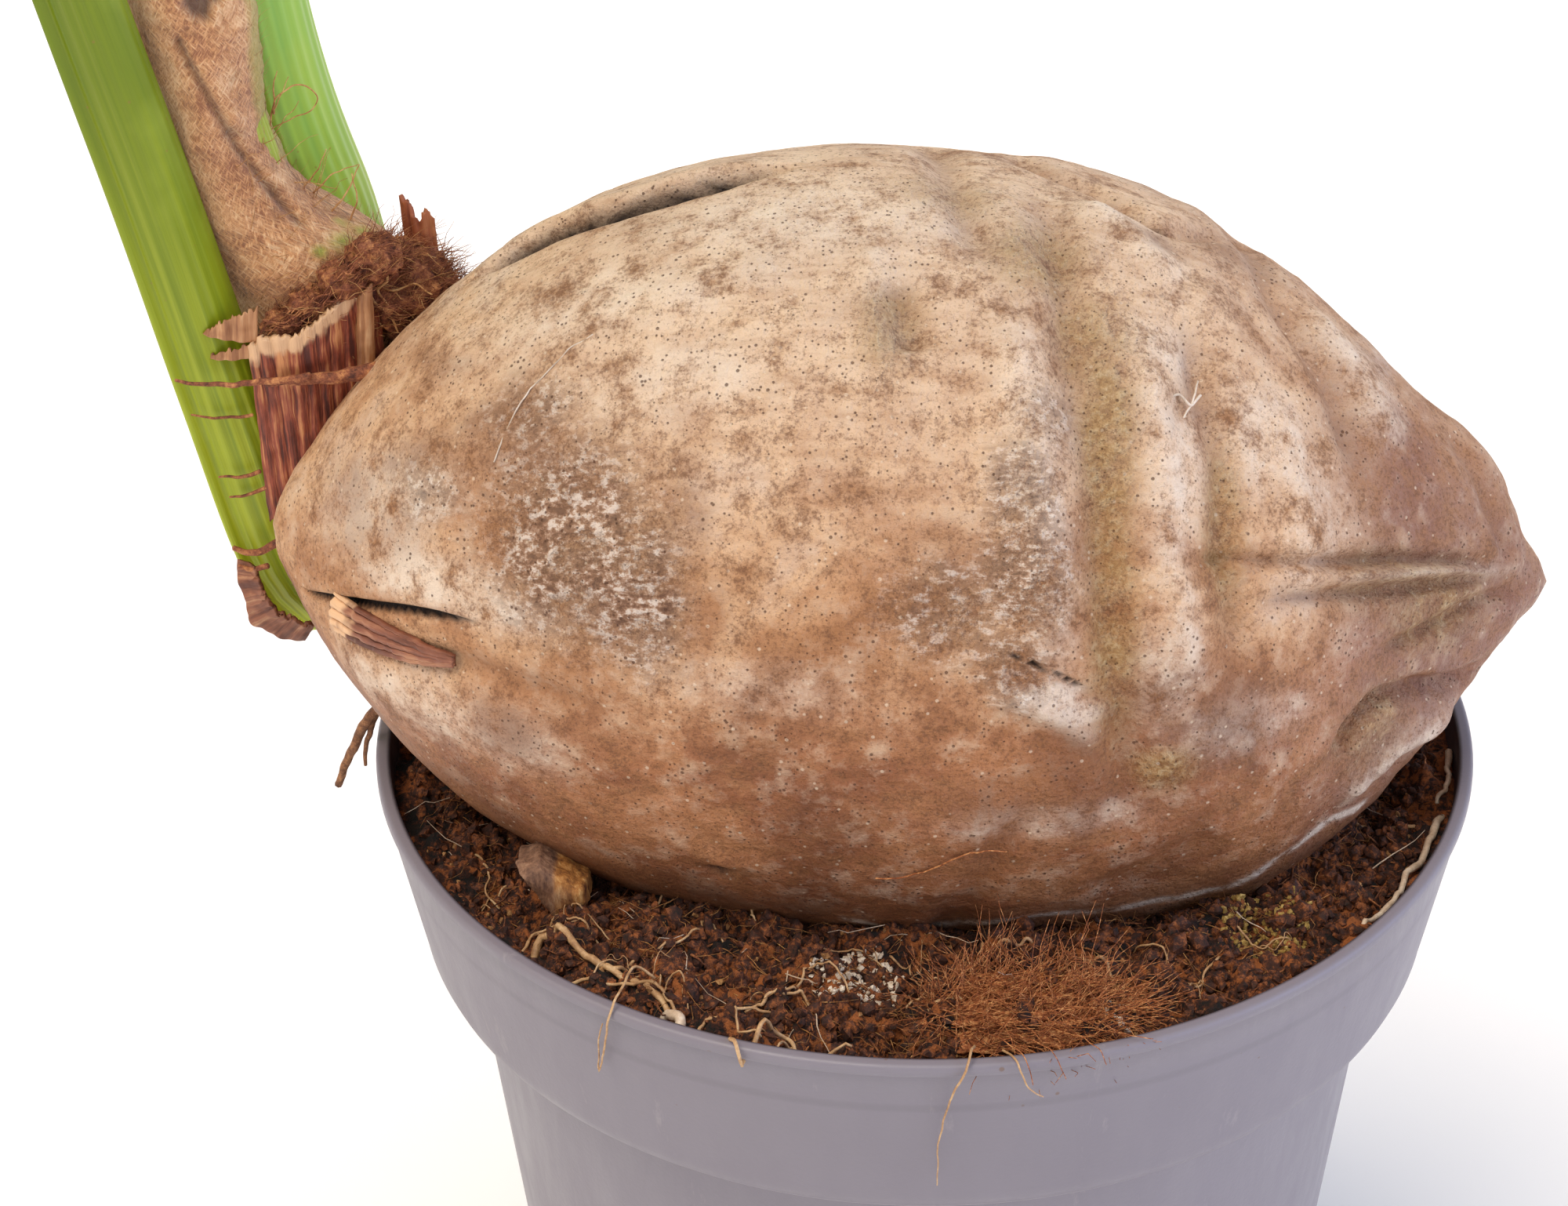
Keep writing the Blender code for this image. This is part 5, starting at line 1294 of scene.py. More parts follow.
def leaf_surface(design, look):
    """Points of a leaf's two faces, row by row: a stalk that spreads into a pleated, notched blade."""
    path = inner_path(design["inner"],
        design["path"]) if "inner" in design else from_stalk_end(design["path"])
    route = Route(path)
    rows, half_columns = 170, look.folds * 4
    across = np.linspace(-1, 1, 2 * half_columns + 1)[None, :]
    station = np.linspace(0, 1, rows)[:, None]
    blade = (station - design["stalk"]) / (1 - design["stalk"])
    opening = ease(blade * 5)
    shaped = np.clip(blade, 0, 1)
    widening = np.sin(math.pi * np.minimum(shaped ** 0.8, 1) * 0.62) / math.sin(math.pi * 0.62)
    half_blade = design["half_width"] * widening * (1 - 0.32 * ease((blade - 0.55) / 0.45))
    rise = ease((station / design["stalk"] - 0.05) / 0.45)
    half_stalk = mix(design["foot"], design["wide"], rise)
    depth = design["deep"] * (1 - 0.75 * ease(blade * 1.2))
    half_wide = np.maximum(half_stalk * (1 - 0.6 * opening), half_blade * opening)
    lobe = np.where(across == 0, 0.0, np.sin(math.pi * (0.05 + 0.80 * np.abs(across))))
    fray = 0.008 * np.sin(across * look.folds * math.pi) * ease((blade - 0.6) / 0.4)
    place = np.minimum(station + (shaped ** 3 * NOTCH * (lobe - 1) + fray) * (1 - design["stalk"]), 1.0)
    centre, forward = route.at(place), route.direction(place)
    turn = np.radians(mix(design["low_heading"], design["heading"], ease((station - 0.10) / 0.30)))
    hint = np.stack([-np.sin(turn), np.cos(turn), np.zeros_like(turn)], axis=-1)
    side = unit(hint - forward * np.sum(hint * forward, axis=-1, keepdims=True))
    face = np.cross(forward, side)
    bow = np.cos(across * math.pi / 2)
    fold = np.abs((across * look.folds) % 2 - 1) * 2 - 1
    pleat = look.pleat * opening * fold * np.minimum(half_wide / 0.03, 1.0)
    droop = -half_wide * DROOP * np.abs(across) ** 1.5 * opening
    ribs = 0.00010 * np.cos(across * 34) * (1 - opening)
    keel = design.get("keel", 0.0) * np.exp(-((across + 0.48) / 0.13) ** 2) * (1 - opening)
    stalk_top = depth * 0.55 * bow + BLADE_THICK / 2 + ribs
    stalk_bottom = -depth * bow - BLADE_THICK / 2 - ribs - keel
    rib = depth * 0.35 * opening * np.maximum(1 - np.abs(across) * 6, 0.0)
    blade_top = droop + pleat + look.blade / 2
    blade_bottom = droop + pleat - look.blade / 2 - rib
    sideways = mix(np.sin(across * math.pi / 2), across, opening) * half_wide
    base = centre + side * sideways[..., None]
    top = base + face * mix(stalk_top, blade_top, opening)[..., None]
    bottom = base + face * mix(stalk_bottom, blade_bottom, opening)[..., None]
    ring = np.concatenate([top, bottom[:, ::-1]], axis=1)
    spread = np.concatenate([sideways, -sideways[:, ::-1] + 0.2], axis=1)
    reach = np.broadcast_to(station * route.length, spread.shape)
    return ring, spread, reach


def lofted(name, ring, spread, reach, material):
    """A closed piece through rings of points, with measured lengths for its material."""
    rows, around = spread.shape
    ends = np.stack([ring[0].mean(axis=0), ring[-1].mean(axis=0)])
    piece = make_object(name, np.vstack([ring.reshape(-1, 3), ends]), capped_faces(rows, around), material)
    face_outwards(piece)
    measure_sheet(piece, np.append(spread.ravel(), [0.0, 0.0]),
                  np.append(reach.ravel(), [reach.min(), reach.max()]))
    piece.data.shade_smooth()
    return piece


def tube_rings(route, half_wide, half_deep, rows, around, share_from=0.0, share_to=1.0):
    """Rings of an oval tube whose broad sides face front and back."""
    share = np.linspace(share_from, share_to, rows)[:, None]
    turn = np.linspace(0, math.tau, around, endpoint=False)[None, :]
    centre, forward = route.at(share), route.direction(share)
    side = unit(np.cross(np.broadcast_to([0.0, 1.0, 0.0], forward.shape), forward))
    back = np.cross(forward, side)
    points = (centre + side * (half_wide * np.cos(turn))[..., None]
              + back * (half_deep * np.sin(turn))[..., None])
    spread = np.broadcast_to(turn / math.tau * 0.06, turn.shape) + 0 * share
    return points, spread, share * route.length + 0 * turn


def make_shoot(look):
    yellow = living_leaf("Living leaf, yellow green", "#b0bb26", "#70820c", "#4f6a06", 1.5, 0.38)
    blue = living_leaf("Living leaf, blue green", "#a2bf42", "#82b04c", "#639a44", 4.5, 0.32)
    young = living_leaf("Living leaf, young", "#c3c65a", "#86a02f", "#5f8420", 2.6, 0.40)
    for design, material in zip(LEAVES, (yellow, blue, young, young)):
        piece = lofted(design["name"] + "_living", *leaf_surface(design, look), material)
        piece.data.set_sharp_from_angle(angle=math.radians(32))
        settle(piece, "leaf_green", design["name"])
    route = Route(inner_path((-0.0043, -0.0025), SPEAR_PATH))
    rows, around = 150, 72
    share = np.linspace(0, 1, rows)[:, None]
    turn = np.linspace(0, math.tau, around, endpoint=False)[None, :]
    swell = np.sin(math.pi * ease((share - 0.35) / 0.65)) * 0.0022
    radius = (0.0035 + swell) * (1 - 0.72 * ease((share - 0.62) / 0.38))
    radius = radius * (1 + 0.13 * np.cos(6 * turn + 9 * share) * ease((share - 0.2) / 0.2))
    settle(lofted("spear_leaf_living", *tube_rings(route, radius, radius * 0.85, rows, around), young),
           "leaf_green", "spear_leaf")
    route = Route(from_stalk_end(STEM_PATH))
    share = np.linspace(0, 1, 90)[:, None]
    swell = ease((share - 0.45) / 0.55)
    rings = 1 + 0.03 * np.sin(share * 55) * ease((share - 0.2) / 0.2)
    settle(lofted("shoot_stem_living", *tube_rings(route, mix(0.008, 0.0122, swell) * rings,
                                                   mix(0.008, 0.0098, swell) * rings, 90, 96), living_stem()),
           "stem_green", "shoot_stem")


# ---------------------------------------------------------------- fibre cloth, scales and fringe

# Fibre cloth: height, left and right sides and half depth in millimetres
CLOTH = np.array([
    (256.0, -126.0, -97.0, 10.0), (264.0, -129.5, -96.5, 10.6), (272.0, -131.6, -96.5, 11.0),
    (281.6, -134.6, -98.8, 11.5), (286.0, -135.8, -107.0, 11.3), (289.5, -136.4, -113.2, 11.0),
    (295.0, -137.2, -117.0, 10.8), (301.0, -138.0, -119.3, 10.6), (308.0, -139.2, -120.0, 10.6),
    (317.0, -140.8, -119.8, 10.8), (326.0, -142.6, -119.6, 11.0), (345.0, -146.6, -123.6, 11.2),
    (370.0, -152.6, -129.8, 11.2), (402.0, -160.6, -137.4, 11.2)])
CLOTH_MIDDLE = 24.0
CREASE = [(-133.0, 317.8), (-129.0, 308.8), (-124.5, 298.0), (-119.6, 289.5), (-114.5, 282.4)]
GREEN_SPOTS = [(-106.9, 279.3, 2.0), (-103.6, 282.0, 1.5), (-111.0, 276.5, 1.3), (-107.4, 283.6, 1.0)]
TEAR = (-128.6, 334.5, 5.0, 13.0)  # middle, half width and half height of the tear in the cloth
SIGHT_ASIDE, SIGHT_RISE = 0.0444, 0.622  # how far the sight line shifts and drops for each step back


def seen_at(points, depth):
    """Where the sight lines through points meet the upright plane at a depth, in millimetres."""
    step = depth - points[:, 1] / MM
    return np.column_stack([points[:, 0] / MM - SIGHT_ASIDE * step, points[:, 2] / MM - SIGHT_RISE * step])


def line_gap(spots, line):
    """Distance from flat spots to a flat line."""
    flat = np.column_stack([spots, np.zeros(len(spots))])
    line = np.column_stack([np.array(line, float), np.zeros(len(line))])
    return reach_of(flat, line)[0]


def make_cloth(material):
    rows, around = 190, 200
    turn = np.linspace(0, math.tau, around, endpoint=False)[None, :]
    height = np.linspace(CLOTH[0, 0], CLOTH[-1, 0], rows)[:, None]
    left, right, deep = (np.interp(height, CLOTH[:, 0], CLOTH[:, column]) for column in (1, 2, 3))
    kernel = np.ones(9) / 9
    left, right, deep = (np.convolve(np.pad(values[:, 0], 4, mode="edge"), kernel, mode="valid")[:, None]
                         for values in (left, right, deep))
    waves = 5.0 * np.sin(3 * turn) + 3.5 * np.sin(7 * turn + 1) + 2 * np.sin(17 * turn)
    lift = ease((height - 372) / 30) * waves
    x = (left + right) / 2 + (right - left) / 2 * np.cos(turn)
    y = CLOTH_MIDDLE + deep * np.sin(turn)
    z = height + lift + 0 * turn
    points = np.stack([x, y, z], axis=-1).reshape(-1, 3) * MM
    outward = unit(np.stack([np.cos(turn) / (right - left) * 2, np.sin(turn) / deep, 0 * turn + 0 * height],
                            axis=-1).reshape(-1, 3))
    seen = seen_at(points, CLOTH_MIDDLE)
    front = np.clip(-outward[:, 1] * 3, 0, 1)
    crease = np.exp(-(line_gap(seen, CREASE) / 0.9) ** 2) * front
    bulge = np.exp(-(line_gap(seen, [(x + 2.4, z - 1.0) for x, z in CREASE]) / 2.0) ** 2) * front
    relief = -1.3 * crease + 0.7 * bulge + 0.9 * grain(points, 0.011, 21.0, 3) + 0.28 * grain(points,
        0.0022, 22.0, 3)
    tear = 1.15 - ((seen[:, 0] - TEAR[0]) / TEAR[2]) ** 2 - ((seen[:, 1] - TEAR[1]) / TEAR[3]) ** 2
    tear = ease((tear + 0.35 * grain(points, 0.004, 23.0, 2)) * 2.2) * front
    relief -= 2.2 * tear
    points += outward * (relief * MM)[:, None]
    piece = make_object("leaf_base_cloth", points, wrapped_faces(rows, around), material)
    measure_sheet(piece, ((turn / math.tau) * 0.062 + 0 * height).ravel(), ((height + 0 * turn) * MM).ravel())
    # the grain's dark patches are wear; the crease and the tear get painted shade
    worn = np.clip(0.85 * tear + 0.55 * crease + 0.25 * ease((grain(points, 0.004, 24.0, 3) - 0.35) * 2.5),
        0, 1)
    green = np.zeros(len(points))
    for x, z, size in GREEN_SPOTS:
        away = ((seen[:, 0] - x) ** 2 + (seen[:, 1] - z) ** 2) / size ** 2
        green = np.maximum(green, np.exp(-away) * front)
    side = ease((seen[:, 0] - np.interp(seen[:, 1], CLOTH[:, 0], CLOTH[:, 2]) + 2.2) / 1.6) * (seen[:,
        1] > 297)
    green = np.clip(np.maximum(green, 0.6 * side) + 0.25 * grain(points, 0.0015, 25.0, 2) * (green > 0.1),
        0, 1)
    paint(piece, "worn", worn)
    paint(piece, "green", green)
    thicken(piece, 0.0007)
    settle(piece, "sheath_fibre", "fibre_sheath")
    return points, wrapped_faces(rows, around), seen, front


def outline_sheet(name, low, high, depth, bulge, columns, rows, material, ragged=0.0, seed=0.0,
                  thick=0.0007, torn_edge=0.0, nearer=0.0):
    """A bent sheet between two outlines (x, z in millimetres) that stands at a depth and bulges forwards."""
    share = np.linspace(0, 1, columns)
    flat = [Route([(x, 0.0, z) for x, z in line]).at(share) for line in (low, high)]
    along = np.linspace(0, 1, rows)[:, None]
    rough = ragged * grain(np.column_stack([share * 30, np.zeros((columns, 2))]), 1.1, seed, 3)
    points = flat[0][None] + (flat[1] - flat[0])[None] * along[..., None]
    points[..., 2] += rough[None, :] * ease((along - 0.6) / 0.4)
    back = depth[0] + (depth[1] - depth[0]) * along
    points[..., 1] = back - bulge * np.sin(math.pi * share)[None, :] + 0 * along
    forward = nearer * (1 - share)[None, :] ** 1.5
    points += forward[..., None] * np.array([SIGHT_ASIDE, -1.0, SIGHT_RISE])
    points = points.reshape(-1, 3) * MM
    ribs = np.cos(np.tile(share, rows) * columns * 0.55) * 0.16 + 0.5 * grain(points, 0.006, seed + 1, 3)
    points[:, 1] += ribs * MM
    piece = make_object(name, points, sheet_faces(rows, columns), material)
    width = np.linalg.norm(flat[0][-1] - flat[0][0]) * MM
    length = np.linalg.norm(flat[1][columns // 2] - flat[0][columns // 2]) * MM
    measure_sheet(piece, np.tile(share, rows) * width, np.repeat(along[:, 0], columns) * length)
    edge = ease((np.repeat(along[:, 0], columns) - 1 + torn_edge + 0.03 * grain(points, 0.002, seed + 2, 2))
                / max(torn_edge * 0.4, 0.01)) if torn_edge else np.zeros(len(points))
    paint(piece, "torn", edge)
    thicken(piece, thick, 0.0)
    return piece


def strands(name, table, material, slot, *nodes):
    """Thin fibres, each a list of points (x, y, z) in millimetres with a thickness at either end."""
    shape = Shape()
    for seed, (points, thick, thin) in enumerate(table):
        line = Route(np.array(points, float) * MM).at(np.linspace(0, 1, 12 * len(points)))
        share = np.linspace(0, 1, len(line))
        shape.tube(jagged(line, 0.0004, 80.0 + seed), mix(thick, thin, share) * MM * 0.5, sides=6)
    return settle(shape.make(name, material), slot, *nodes)


def at_depth(points, depth):
    return [(x, depth, z) for x, z in points]


def toward(points, amount):
    """The same spots as seen from the front, so many millimetres nearer along the sight line."""
    return [(x + SIGHT_ASIDE * amount, y - amount, z + SIGHT_RISE * amount) for x, y, z in points]


def lump(centre, half, seed, rough=0.14, steps=36):
    """Points and faces of a rough oval body, in millimetres."""
    latitudes = np.linspace(0, math.pi, steps + 2)[1:-1]
    turns = np.linspace(0, math.tau, steps * 2, endpoint=False)
    latitude, turn = (grid.ravel() for grid in np.meshgrid(latitudes, turns, indexing="ij"))
    ball = np.stack([np.sin(latitude) * np.cos(turn), np.sin(latitude) * np.sin(turn), np.cos(latitude)],
        axis=1)
    ball = np.vstack([ball, [[0, 0, 1], [0, 0, -1]]])
    ball = ball * (1 + rough * grain(ball, 0.45, seed, 3))[:, None]
    points = (np.array(centre) + ball * np.array(half)) * MM
    faces = wrapped_faces(steps, steps * 2)
    top, bottom, base = steps * steps * 2, steps * steps * 2 + 1, (steps - 1) * steps * 2
    for step in range(steps * 2):
        after = (step + 1) % (steps * 2)
        faces += [(top, step, after), (bottom, base + after, base + step)]
    return points, faces


SLEEVE_TOP = [(-124.2, 262.8), (-120.9, 266.5), (-115.7, 267.7), (-109.4, 272.6), (-104.7, 276.7),
  (-101.4, 280.4)]
SLEEVE_FOOT = [(-123.6, 226.0), (-118.5, 232.0), (-113.0, 240.5), (-108.0, 248.0), (-104.0, 253.5),
  (-100.0, 256.5)]


def make_wrappings(look):
    cloth = leaf_base_cloth()
    dark = loose_pieces("Dark fringe fibre", "#47231a", "#8a4f34", "#c88c58", 2.2)
    light = loose_pieces("Tan loose fibre", "#8a5b34", "#b98652", "#e0b980", 3.0)
    scale = dried_scale("Dried red-brown scale", "#4d2018", "#944831", "#cb8d5c")
    tan = dried_scale("Dried tan scale", "#8a5a3a", "#b58359", "#dcb78c", 2.0)
    paper = dried_scale("Papery bract", "#5e3222", "#8a553b", "#b98a66", 1.6)
    orange = dried_scale("Dried orange-brown scale", "#7c3f28", "#a65e3b", "#c48557", 3.0)
    fibres = fibre_tree("Wrapping fibres")
    points, faces, seen, front = make_cloth(cloth)
    grow("cloth_fuzz", fibres, points, faces, light, "sheath_fibre", Density=260000.0, Shortest=0.0012,
        Longest=0.0034, Thickness=0.00004, Bend=0.0016, Curl_Size=0.002, Upright=0.22, Lay=(0.0, 0.0, 0.9),
        Seed=21)
    ends = [face for face in faces
            if seen[face[0], 1] < 300 and seen[face[0], 0] > -125 and front[face[0]] > 0.2]
    grow("cloth_threads", fibres, points, ends, light, "sheath_fibre", Density=60000.0, Shortest=0.004,
        Longest=0.010, Thickness=0.00010, Bend=0.0040, Curl_Size=0.005, Upright=0.35, Lay=(0.7, -0.2, 0.9),
        Seed=22)
    sleeve = outline_sheet("cut_scale_sleeve", SLEEVE_FOOT, SLEEVE_TOP, (12.5, 13.5), 4.5, 110, 70, scale,
        ragged=1.0, seed=31.0, thick=0.0013, torn_edge=0.12, nearer=8.0)
    settle(sleeve, "scale_brown", "cut_scale_leaf")
    strip = outline_sheet("tan_strip", [(-105.2, 260), (-101.6, 262.4)],
        [(-103.6, 276), (-101, 278.6)], (9.4, 10.4), 0.8, 24, 40, tan, ragged=0.6, seed=33.0)
    settle(strip, "scale_brown")
    mass = Shape()
    for index, (centre, half) in enumerate([
            ((-97.5, 23.0, 269.5), (9.5, 9.5, 10.5)), ((-103.5, 19.0, 271.5), (8.0, 7.5, 7.0)),
            ((-111.0, 16.5, 266.5), (7.0, 5.0, 4.5)), ((-118.0, 15.5, 260.0), (6.0, 4.5, 4.5)),
            ((-92.0, 24.0, 266.0), (5.5, 7.5, 8.5)), ((-117.5, 11.5, 269.6), (4.6, 3.6, 3.0)),
            ((-112.0, 12.0, 273.2), (5.0, 3.8, 3.4)), ((-106.5, 13.0, 277.6), (5.0, 4.4, 3.8)),
            ((-101.0, 16.0, 280.6), (5.2, 5.4, 4.2))]):
        mass.add(*lump(centre, half, 40.0 + index, rough=0.26))
    mass_points, mass_faces = np.vstack(mass.points), list(mass.faces)
    settle(mass.make("fringe_mass", dark), "scale_brown", "fibre_fringe")
    grow("fringe_fibres", fibres, mass_points, mass_faces, dark, "scale_brown",
        Density=look.fringe_density * 0.8, Shortest=0.0025, Longest=0.0070, Thickness=0.00010, Bend=0.0035,
        Curl_Size=0.003, Upright=0.30, Lay=(0.75, -0.1, 0.45), Seed=23)
    grow("fringe_threads", fibres, mass_points, mass_faces, light, "scale_brown",
        Density=look.fringe_density * 0.20, Shortest=0.003, Longest=0.0080, Thickness=0.00011, Bend=0.0045,
        Curl_Size=0.0035, Upright=0.6, Lay=(0.2, -0.2, 0.1), Seed=24)
    chance = np.random.default_rng(61)
    edge = Route([(x, 0.0, z) for x, z in SLEEVE_TOP])
    combed = []
    for _ in range(80):
        start, reach, rise = chance.uniform(0.0, 0.9), chance.uniform(0.10, 0.30), chance.uniform(0.5, 5.5)
        spots = edge.at(np.minimum(start + reach * np.array([0.0, 0.5, 1.0]), 1.0))
        spots[:, 1] = 7.6 + 3.0 * start + chance.uniform(-0.8, 0.8, 3) - 0.25 * rise
        spots[:, 2] += rise + chance.uniform(-1.2, 1.2, 3)
        combed.append((spots, chance.uniform(0.2, 0.5), 0.15))
    strands("fringe_combed", combed, dark, "scale_brown")
    upright = outline_sheet("upright_scale_dry", [(-96.2, 275), (-90.8, 275)],
        [(-97, 288.4), (-95.4, 287.4), (-93.8, 284.2), (-92.4, 285.6), (-91, 284.6)], (26.0, 26.0), 1.6,
        40, 40, orange, ragged=1.1, seed=35.0, thick=0.0009)
    settle(upright, "scale_brown", "upright_scale")
    for index, (low, high) in enumerate([
            ([(-132.2, 270.2), (-126.7, 269.3), (-122.4, 268.6)],
             [(-131.6, 270.8), (-127.4, 273.6), (-121.6, 275.4)]),
            ([(-131.5, 264.9), (-127, 265.2), (-121.4, 266)],
             [(-131.2, 265.8), (-127, 267.4), (-121.2, 269.4)])]):
        flake = outline_sheet("tan_flake_%d" % (index + 1), low, high, (6.2, 6.2), 1.0, 40, 16, tan,
            ragged=0.9, seed=36.0 + index, thick=0.0005)
        settle(flake, "scale_brown")
    bract = outline_sheet("papery_bract", [(-118.9, 205), (-123.4, 206.2), (-126, 208.6),
        (-128.6, 210.2), (-129, 215.2), (-130.1, 219), (-130, 223)],
        [(-116.4, 209.8), (-119.2, 211.2), (-122.2, 213.4), (-124.4, 217), (-126.6, 223.2)], (3.5, 1.0),
        1.5, 90, 40, paper, ragged=1.0, seed=38.0, thick=0.0009)
    settle(bract, "scale_brown", "bract_flap")
    strands("scale_strands", [
        (toward(at_depth([(-137.6, 260.2), (-133.3, 259.3), (-127.4, 259.3), (-120, 260), (-112.6, 261)],
                         6.0), 4.5), 0.6, 1.7),
        (toward(at_depth([(-121, 259.6), (-112.6, 260.6), (-106.8, 261.2), (-100.2, 262.6)], 6.0), 3.0),
         1.2, 3.4),
        (at_depth([(-135.9, 254.1), (-129.7, 253.3), (-124.4, 254.1)], 4.4), 0.4, 0.7),
        (at_depth([(-132.1, 240.6), (-127.9, 241), (-124.1, 242)], 4.4), 0.4, 0.9),
        (at_depth([(-130.5, 236.3), (-126.8, 236.8), (-123, 238.6)], 4.4), 0.4, 0.9),
        (at_depth([(-130.4, 226.6), (-128, 225.4), (-125, 226), (-121.6, 227.8)], 2.0), 1.0, 1.8),
        (at_depth([(-129.6, 223), (-127, 222.2), (-124, 223)], 1.4), 0.8, 1.2),
    ], dark, "scale_brown")
    strands("cloth_loops", [
        (at_depth([(-119.6, 303.3), (-118.5, 307.9), (-116, 311), (-113.1, 311.8), (-110.4, 309.5),
                   (-111.4, 307.1), (-113.7, 305.6), (-118.9, 303.3), (-119.8, 301.7)], 24.0), 0.35, 0.2),
        (at_depth([(-119, 302), (-116.5, 305), (-113.8, 308.6)], 24.0), 0.2, 0.12),
        (at_depth([(-118.6, 306), (-118.2, 311), (-117.2, 314.5)], 24.0), 0.5, 0.15),
        (at_depth([(-118.4, 307), (-116.9, 310), (-115.2, 313.4)], 24.0), 0.25, 0.12),
        (at_depth([(-114.8, 291), (-111.6, 294.5), (-109.6, 299)], 24.0), 0.35, 0.15),
        (at_depth([(-112.6, 290.6), (-108.4, 294.4), (-103.8, 296.4)], 23.0), 0.35, 0.15),
        (at_depth([(-109.5, 287), (-106, 291.5), (-103.4, 296.8)], 22.0), 0.45, 0.2),
        (at_depth([(-106, 285.5), (-104.4, 290), (-104.9, 295)], 22.0), 0.40, 0.2),
        (at_depth([(-117, 293), (-112.6, 293.2), (-108, 292)], 22.0), 0.25, 0.12),
        (at_depth([(-102, 278), (-98, 275), (-94, 276.4), (-90.6, 274.2)], 14.0), 0.6, 0.3),
        (at_depth([(-103, 279), (-101, 273.6), (-98.6, 271.2), (-97.2, 267.4)], 12.0), 0.8, 0.4),
        (at_depth([(-101.8, 280.4), (-99.2, 280.8), (-98.4, 278), (-100.4, 275.6),
            (-98.6, 272.4)], 12.5), 0.7, 0.4),
    ], light, "sheath_fibre")


# ---------------------------------------------------------------- splinters, stub and tuft

def make_splinters():
    husk = split_husk()
    stub = loose_pieces("Dead root", "#4a2e1c", "#754c30", "#a5764d", 2.0, 0.8)
    hair = loose_pieces("Coir", "#562713", "#9a572b", "#e0aa70", 1.2)
    pale = loose_pieces("White rootlets", "#a89582", "#d0c1b1", "#e6dacd", 5.0, 0.6)
    paper = dried_scale("Papery husk splinter", "#5a3020", "#85503a", "#b58260", 1.5)
    # papery splinter along the split in the front of the husk
    rows, columns = 26, 110
    share, across = np.linspace(0, 1, columns)[None, :], np.linspace(0, 1, rows)[:, None]
    pinch = 1 - 0.88 * share ** 0.8
    turn = np.radians(184 - 7 * share + (across - 0.5) * 19 * pinch)
    station = mix(0.072, 0.172, share) + 0 * across
    skin = husk_point(station.ravel(), turn.ravel())
    out = husk_normal(station.ravel(), turn.ravel())
    lift = (0.9 + 1.5 * np.sin(math.pi * across) * pinch + 0.5 * np.cos(across * 30) * pinch).ravel()
    points = skin + out * ((lift + 0.3 * grain(skin, 0.002, 51.0, 2)) * MM)[:, None]
    wedge = make_object("husk_splinter", points, sheet_faces(rows, columns), paper)
    measure_sheet(wedge, (across * 0.012 + 0 * share).ravel(), (share * 0.024 + 0 * across).ravel())
    crumble = ease((0.20 - share + 0 * across).ravel() * 9 + 0.8 * grain(points, 0.002, 52.0, 2))
    paint(wedge, "torn", crumble)
    thicken(wedge, 0.0011, 0.0)
    settle(wedge, "scale_brown", "husk_wedge")
    # chip on the mix
    outline = [(-73.1, 194.2), (-68.8, 196), (-60.5, 190.8), (-60, 186.4), (-65.2, 180.9), (-69.2, 188.1)]
    centre = np.array(outline).mean(axis=0)
    steps, deep = 90, 14
    corners = np.array([(x, 0.0, z) for x, z in outline + outline[:1]])
    reached = np.concatenate([[0.0], np.cumsum(np.linalg.norm(np.diff(corners, axis=0), axis=1))])
    goals = np.linspace(0, reached[-1], steps, endpoint=False)
    loop = np.stack([np.interp(goals, reached, corners[:, axis]) for axis in range(3)], axis=1)
    rings = []
    for row in range(deep):
        inward = 1 - 0.25 * abs(2 * row / (deep - 1) - 1) ** 4
        slab = np.column_stack([centre[0] + (loop[:, 0] - centre[0]) * inward,
            np.full(steps, -57.0 + 13.0 * row / (deep - 1)),
            centre[1] + (loop[:, 2] - centre[1]) * inward - 0.15 * row])
        rings.append(slab * MM)
    points = np.vstack(rings)
    points += unit(points - points.mean(axis=0)) * (0.5 * grain(points, 0.003, 53.0, 3) * MM)[:, None]
    points = np.vstack([points, points[:steps].mean(axis=0), points[-steps:].mean(axis=0)])
    chip = make_object("husk_chip_broken", points, capped_faces(deep, steps), husk)
    face_outwards(chip)
    paint(chip, "broken", ease((points[:, 0] / MM + 66.5) / 1.2))
    settle(chip, "husk", "husk_chip")
    # dead root that hangs outside the rim, with two prongs
    strands("dead_root_stub", [([(-97, -12, 206), (-105, -9.4, 196), (-109.6, -7.4, 187),
        (-113.6, -5.4, 177)], 2.6, 1.5), ([(-104, -9.4, 197), (-106.4, -8.8, 190), (-107.2, -8.6, 184)],
        1.5, 0.7)], stub, "root_tan", "root_stub")
    # coir tuft by the rim
    points, faces = lump((17.7, -85.0, 185.6), (16.0, 9.0, 2.6), 54.0, rough=0.4)
    settle(make_object("coir_pad", points, faces, hair), "root_tan", "coir_tuft")
    fibres = fibre_tree("Coir fibres")
    upper = [face for face in faces if points[list(face), 2].mean() > 0.1842]
    grow("coir_fibres", fibres, points, upper, hair, "root_tan", Density=800000.0, Shortest=0.006,
        Longest=0.015, Thickness=0.00015, Bend=0.0090, Curl_Size=0.007, Upright=0.12, Lay=(0.45, 0.0, 0.16),
        Seed=31)
    strands("coir_over_rim", [
        ([(10, -92, 187.5), (14, -98, 190.5), (17.6, -103.8, 191.2), (19, -104.9, 186.4)], 0.26, 0.16),
        ([(15, -92, 187.5), (19, -98.6, 190.8), (22.6, -102.9, 191.4), (24.6, -104, 187)], 0.24, 0.14),
        ([(22, -91, 187.5), (27, -97.2, 190.6), (30, -101, 191.4), (31.4, -102, 188.6)], 0.26, 0.14),
        ([(25, -90, 187), (31, -94.6, 190), (36, -97.4, 191), (39.4, -97.8, 190.8)], 0.22, 0.14),
    ], hair, "root_tan")
